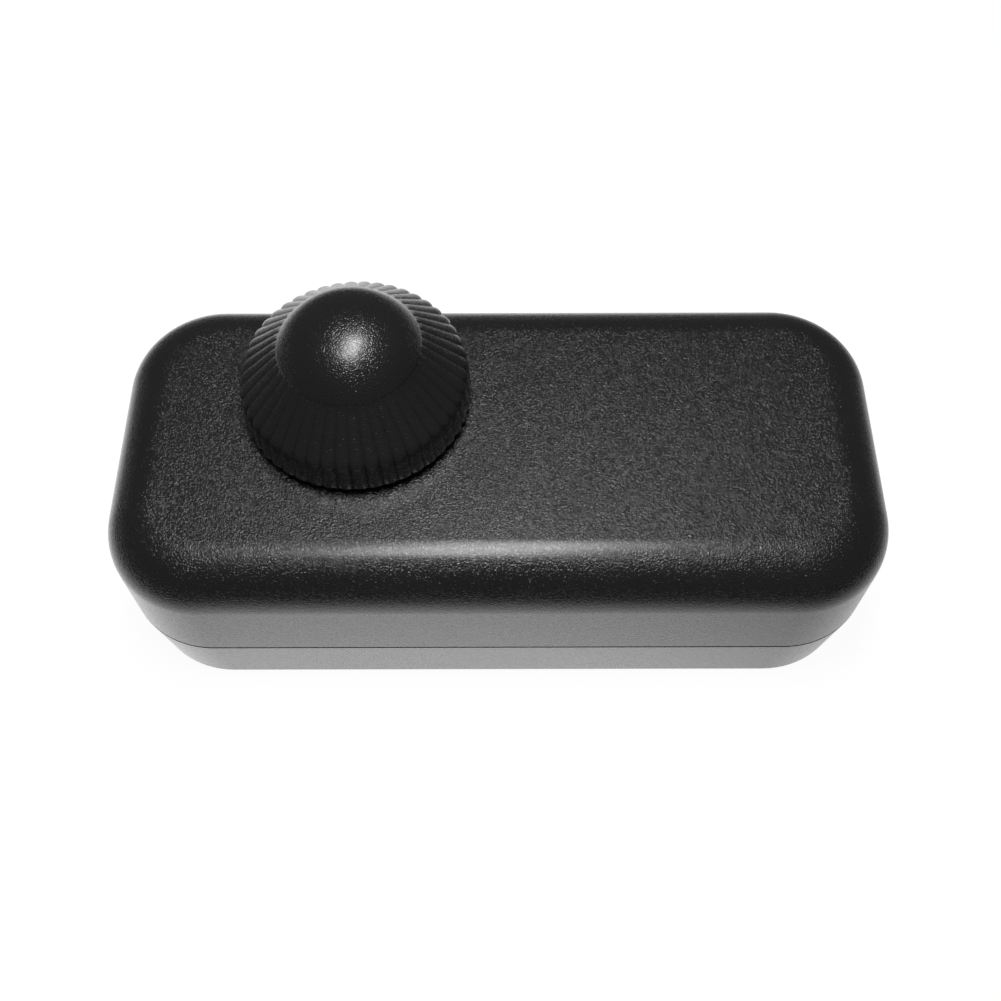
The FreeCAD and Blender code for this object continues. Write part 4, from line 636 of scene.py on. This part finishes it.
def hollow_points(sizes):
    """The underside from the end of the bore down to the skirt."""
    ceiling = sizes.crease - ROOF
    inner_top = sizes.crease_radius + ROOF - sizes.wall * math.sqrt(2)
    return [
        (0.0, sizes.bore_end),
        (sizes.bore_radius, sizes.bore_end),
        (sizes.bore_radius, sizes.hub_foot),
        (sizes.hub_radius, sizes.hub_foot),
        (sizes.hub_radius, ceiling),
        (inner_top, ceiling),
        (sizes.edge_radius - sizes.wall, sizes.edge - sizes.wall / 2),
        (sizes.foot_radius - sizes.wall, sizes.foot),
        (sizes.foot_radius - SOFT_EDGE, sizes.foot)]


def rib_column(sizes, radius, height, column_index):
    """A test for the two columns of every rib that lie equally far from its valley."""
    pitch = math.tau / sizes.ribs

    def on_column(vert):
        dx, dy = vert.co.x - sizes.axis_x, vert.co.y - sizes.axis_y
        if abs(vert.co.z - height) > SAME_PLACE or abs(math.hypot(dx, dy) - radius) > SAME_PLACE:
            return False
        index = round(math.atan2(dy, dx) / pitch * RIB_COLUMNS) % RIB_COLUMNS
        return index in (column_index, (RIB_COLUMNS - column_index) % RIB_COLUMNS)

    return on_column


class MakeKnob(Operator):
    """Models the ribbed knob with its dome"""
    bl_idname = "dimmer.knob"
    bl_label = "Knob"

    def execute(self, context):
        sizes = context.scene.dimmer_knob
        looks = context.scene.dimmer_looks
        rings = ribbed_rings(sizes)
        profile = hollow_points(sizes) + [ring[:2] for ring in rings] + dome_points(sizes)
        knob = lathe("knob_cap", profile, sizes.ribs * RIB_COLUMNS, sizes.axis_x, sizes.axis_y)
        edit(knob)
        for radius, height, depth in rings:
            centre = (sizes.axis_x, sizes.axis_y, height)
            for column_index in range(RIB_COLUMNS // 2):
                pick(knob, "VERT", rib_column(sizes, radius, height, column_index))
                factor = 1 - depth * rib_share(column_index) / radius
                bpy.ops.transform.resize(value=(factor, factor, 1.0), center_override=centre)
        bpy.ops.mesh.select_all(action="SELECT")
        bpy.ops.transform.rotate(
            value=sizes.turn, orient_axis="Z", center_override=(sizes.axis_x, sizes.axis_y, 0.0))
        leave()
        smooth(knob, 40)
        plastic = moulded_plastic(
            "satin_black_knob", tuple(looks.knob), OUTER_ROUGHNESS, looks.grain,
            KNOB_GRAIN_HEIGHT, OUTER_SPECULAR, OUTER_COAT)
        finish_piece(knob, plastic, "spindle", "knob_plastic", "knob")
        return {"FINISHED"}


# Inner pieces
class FinishMetalwork(Operator):
    """Finishes the screws and the metal pieces of the potentiometer"""
    bl_idname = "dimmer.metalwork"
    bl_label = "Metalwork"

    def execute(self, context):
        zinc = metal("zinc_plate", (0.6, 0.62, 0.64), 0.32)
        nickel = metal("nickel_plate", (0.68, 0.66, 0.62), 0.22)
        brass = metal("tinned_brass", (0.7, 0.66, 0.55), 0.3)
        for node in ("housing_screws", "board_screws", "clamp_screws", "terminal_screws", "triac_screw",
                     "triac_nut", "pot_can", "shaft_ring"):
            coat_node(node, zinc)
        for node in ("pot_nut", "pot_washer", "fuse_caps"):
            coat_node(node, nickel)
        for node in ("pot_terminals", "switch_terminals", "terminal_clamps", "fuse_clips"):
            coat_node(node, brass)
        coat_node("pot_bushing", metal("cast_zinc", (0.52, 0.53, 0.54), 0.42, fineness=900.0))
        coat_node("pot_shaft", metal("turned_aluminium", (0.7, 0.7, 0.71), 0.28, (1.0, 1.0, 12.0), 900.0))
        coat_node("pot_wiper", metal("spring_bronze", (0.72, 0.5, 0.26), 0.25))
        coat_node("heat_sink", metal("rolled_aluminium", (0.66, 0.67, 0.68), 0.35, (1.0, 14.0, 14.0), 700.0))
        coat_node("triac_frame", metal("tinned_copper", (0.62, 0.6, 0.56), 0.3))
        copper = metal("enamelled_copper", (0.55, 0.22, 0.09), 0.25, (1.0, 1.0, 6.0), 900.0)
        coat_node("choke_winding", copper)
        return {"FINISHED"}


class FinishInsulation(Operator):
    """Finishes the board, its parts and the plastic inner pieces"""
    bl_idname = "dimmer.insulation"
    bl_label = "Insulation"

    def execute(self, context):
        coat_node("circuit_board", laminate("board_laminate", (0.5, 0.36, 0.16), (0.36, 0.24, 0.1)))
        coat_node("pot_wafer", laminate("phenolic_wafer", (0.25, 0.11, 0.05), (0.16, 0.07, 0.03)))
        black = moulded_plastic("black_phenolic", (0.03, 0.03, 0.03), 0.5, 0.00015, 0.00002)
        for node in ("pot_rotor", "switch_housing", "cord_clamps"):
            coat_node(node, black)
        coat_node("switch_lever", moulded_plastic("ivory_nylon", (0.7, 0.66, 0.55), 0.42, 0.00018, 0.00001))
        green = moulded_plastic("green_polyamide", (0.05, 0.16, 0.08), 0.42, 0.0002, 0.000015)
        coat_node("terminal_blocks", green)
        coat_node("triac_body", moulded_plastic("epoxy_black", (0.028, 0.028, 0.03), 0.48, 0.0001, 0.000015))
        coat_node("film_capacitor", smooth_coating("yellow_case", (0.72, 0.46, 0.06), 0.3))
        coat_node("timing_capacitor", smooth_coating("red_case", (0.42, 0.05, 0.03), 0.28))
        coat_node("choke_core", smooth_coating("cream_core_coating", (0.68, 0.6, 0.38), 0.4))
        coat_node("resistors", smooth_coating("resistor_lacquer", (0.5, 0.38, 0.22), 0.32))
        coat_node("diac", smooth_coating("diac_glass", (0.4, 0.12, 0.05), 0.15))
        coat_node("fuse_tube", clear_glass("fuse_glass", (0.92, 0.96, 0.95)))
        return {"FINISHED"}


# Stage
FLOOR_SIZE = 0.8
FLOOR_GLOW = 0.955
WHITE_CENTRE = (-0.011, 0.013)
WHITE_REACH = (0.074, 0.059)
WHITE_IN_REFLECTIONS = 0.9
LAMP_PLACE = (-0.002, -0.003, 0.175)
LAMP_TARGET = (0.0, 0.003, 0.02)
LAMP_SIZE = (0.046, 0.08)
LAMP_WATTS = 0.125
AMBIENT = 0.09
CAMERA_TILT = math.radians(61.056)
CAMERA_DISTANCE = 0.13192
CAMERA_TARGET_HEIGHT = 0.010
CAMERA_ROLL = math.radians(-0.13)
SENSOR_WIDTH = 36.0
LENS = 42.43
SHIFT_X = 0.0023
SHIFT_Y = -0.0081


def math_node(material, operation, first, second):
    """One step of arithmetic; each input is a socket or a number."""
    node = material.node_tree.nodes.new("ShaderNodeMath")
    node.operation = operation
    for socket, value in zip(node.inputs, (first, second)):
        if isinstance(value, float):
            socket.default_value = value
        else:
            join_nodes(material, value, socket)
    return node.outputs["Value"]


def near_object(material, centre, reach):
    """Bright on the floor around the object, fading to 0 around the reach along X and Y."""
    nodes = material.node_tree.nodes
    place = nodes.new("ShaderNodeTexCoord")
    mapping = nodes.new("ShaderNodeMapping")
    mapping.vector_type = "POINT"
    mapping.inputs["Location"].default_value = (-centre[0] / reach[0], -centre[1] / reach[1], 0.0)
    mapping.inputs["Scale"].default_value = (1 / reach[0], 1 / reach[1], 1.0)
    join_nodes(material, place.outputs["Object"], mapping.inputs["Vector"])
    length = nodes.new("ShaderNodeVectorMath")
    length.operation = "LENGTH"
    join_nodes(material, mapping.outputs["Vector"], length.inputs[0])
    return ramp(material, length.outputs["Value"], WHITE_IN_REFLECTIONS, 0.0, 0.6, 1.4)


def white_ground(name, colour, glow, centre, reach):
    """White to the camera with a soft shadow, and white near the object in reflections."""
    material = bpy.data.materials.new(name)
    material.use_nodes = True
    nodes = material.node_tree.nodes
    nodes.clear()
    path = nodes.new("ShaderNodeLightPath")
    mirrored = math_node(
        material, "MAXIMUM", path.outputs["Is Glossy Ray"], path.outputs["Is Transmission Ray"])
    mirrored = math_node(material, "MULTIPLY", mirrored, near_object(material, centre, reach))
    seen = math_node(material, "MULTIPLY", path.outputs["Is Camera Ray"], glow)
    emission = nodes.new("ShaderNodeEmission")
    join_nodes(material, math_node(material, "MAXIMUM", seen, mirrored), emission.inputs["Strength"])
    diffuse = nodes.new("ShaderNodeBsdfDiffuse")
    diffuse.inputs["Color"].default_value = (*colour, 1.0)
    total = nodes.new("ShaderNodeAddShader")
    join_nodes(material, emission.outputs["Emission"], total.inputs[0])
    join_nodes(material, diffuse.outputs["BSDF"], total.inputs[1])
    output = nodes.new("ShaderNodeOutputMaterial")
    join_nodes(material, total.outputs["Shader"], output.inputs["Surface"])
    return material


def softbox(name, place, target, size, watts):
    """A square area lamp that looks at a target."""
    deselect()
    bpy.ops.object.light_add(type="AREA", location=place)
    lamp = bpy.context.object
    lamp.name = name
    lamp.data.shape = "RECTANGLE"
    lamp.data.size = size[0]
    lamp.data.size_y = size[1]
    lamp.data.energy = watts
    direction = [t - p for t, p in zip(target, place)]
    yaw = math.atan2(direction[1], direction[0]) - math.pi / 2
    tilt = math.atan2(math.hypot(direction[0], direction[1]), -direction[2])
    lamp.rotation_euler = (tilt, 0.0, yaw)


class MakeStage(Operator):
    """Sets the floor, the studio light and the camera"""
    bl_idname = "dimmer.stage"
    bl_label = "Stage"

    def execute(self, context):
        looks = context.scene.dimmer_looks
        floor = start("floor", bpy.ops.mesh.primitive_plane_add, size=FLOOR_SIZE, location=(0, 0, 0))
        ground = white_ground("white_ground", tuple(looks.floor), FLOOR_GLOW, WHITE_CENTRE, WHITE_REACH)
        floor.data.materials.append(ground)
        softbox("overhead_softbox", LAMP_PLACE, LAMP_TARGET, LAMP_SIZE, LAMP_WATTS)
        world = bpy.data.worlds.new("studio")
        context.scene.world = world
        world.use_nodes = True
        nodes = world.node_tree.nodes
        nodes.clear()
        output = nodes.new("ShaderNodeOutputWorld")
        ambient = nodes.new("ShaderNodeBackground")
        ambient.inputs["Color"].default_value = (1.0, 1.0, 1.0, 1.0)
        ambient.inputs["Strength"].default_value = AMBIENT
        white = nodes.new("ShaderNodeBackground")
        white.inputs["Color"].default_value = (1.0, 1.0, 1.0, 1.0)
        white.inputs["Strength"].default_value = 1.0
        path = nodes.new("ShaderNodeLightPath")
        mix = nodes.new("ShaderNodeMixShader")
        links = world.node_tree.links
        links.new(path.outputs["Is Camera Ray"], mix.inputs["Fac"])
        links.new(ambient.outputs["Background"], mix.inputs[1])
        links.new(white.outputs["Background"], mix.inputs[2])
        links.new(mix.outputs["Shader"], output.inputs["Surface"])
        back = CAMERA_DISTANCE * math.cos(CAMERA_TILT)
        place = (0.0, -back, CAMERA_TARGET_HEIGHT + CAMERA_DISTANCE * math.sin(CAMERA_TILT))
        deselect()
        bpy.ops.object.camera_add(location=place, rotation=(math.radians(90) - CAMERA_TILT, 0.0, 0.0))
        camera = bpy.context.object
        camera.name = "camera"
        camera.rotation_euler.rotate_axis("Z", CAMERA_ROLL)
        camera.data.sensor_width = SENSOR_WIDTH
        camera.data.lens = LENS
        camera.data.shift_x = SHIFT_X
        camera.data.shift_y = SHIFT_Y
        camera.data.clip_start = 0.001
        camera.data.dof.use_dof = False
        context.scene.camera = camera
        context.scene.view_settings.view_transform = "Standard"
        return {"FINISHED"}


class DimmerPanel(Panel):
    """Lists the steps that build the dimmer"""
    bl_idname = "VIEW3D_PT_dimmer"
    bl_label = "Dimmer"
    bl_space_type = "VIEW_3D"
    bl_region_type = "UI"
    bl_category = "Dimmer"

    def draw(self, context):
        for step in STEPS:
            self.layout.operator(step.bl_idname)
        for group in (context.scene.dimmer_housing, context.scene.dimmer_knob, context.scene.dimmer_looks):
            box = self.layout.box()
            for key in group.__annotations__:
                box.prop(group, key)


STEPS = (MakeCover, MakeCase, MakeKnob, FinishMetalwork, FinishInsulation, MakeStage)
CLASSES = (HousingSizes, KnobSizes, Looks) + STEPS + (DimmerPanel,)


def register():
    for item in CLASSES:
        bpy.utils.register_class(item)
    bpy.types.Scene.dimmer_housing = PointerProperty(type=HousingSizes)
    bpy.types.Scene.dimmer_knob = PointerProperty(type=KnobSizes)
    bpy.types.Scene.dimmer_looks = PointerProperty(type=Looks)


def unregister():
    del bpy.types.Scene.dimmer_housing
    del bpy.types.Scene.dimmer_knob
    del bpy.types.Scene.dimmer_looks
    for item in reversed(CLASSES):
        bpy.utils.unregister_class(item)


def main():
    register()
    for step in STEPS:
        group, name = step.bl_idname.split(".")
        getattr(getattr(bpy.ops, group), name)()


if __name__ == "__main__":
    main()
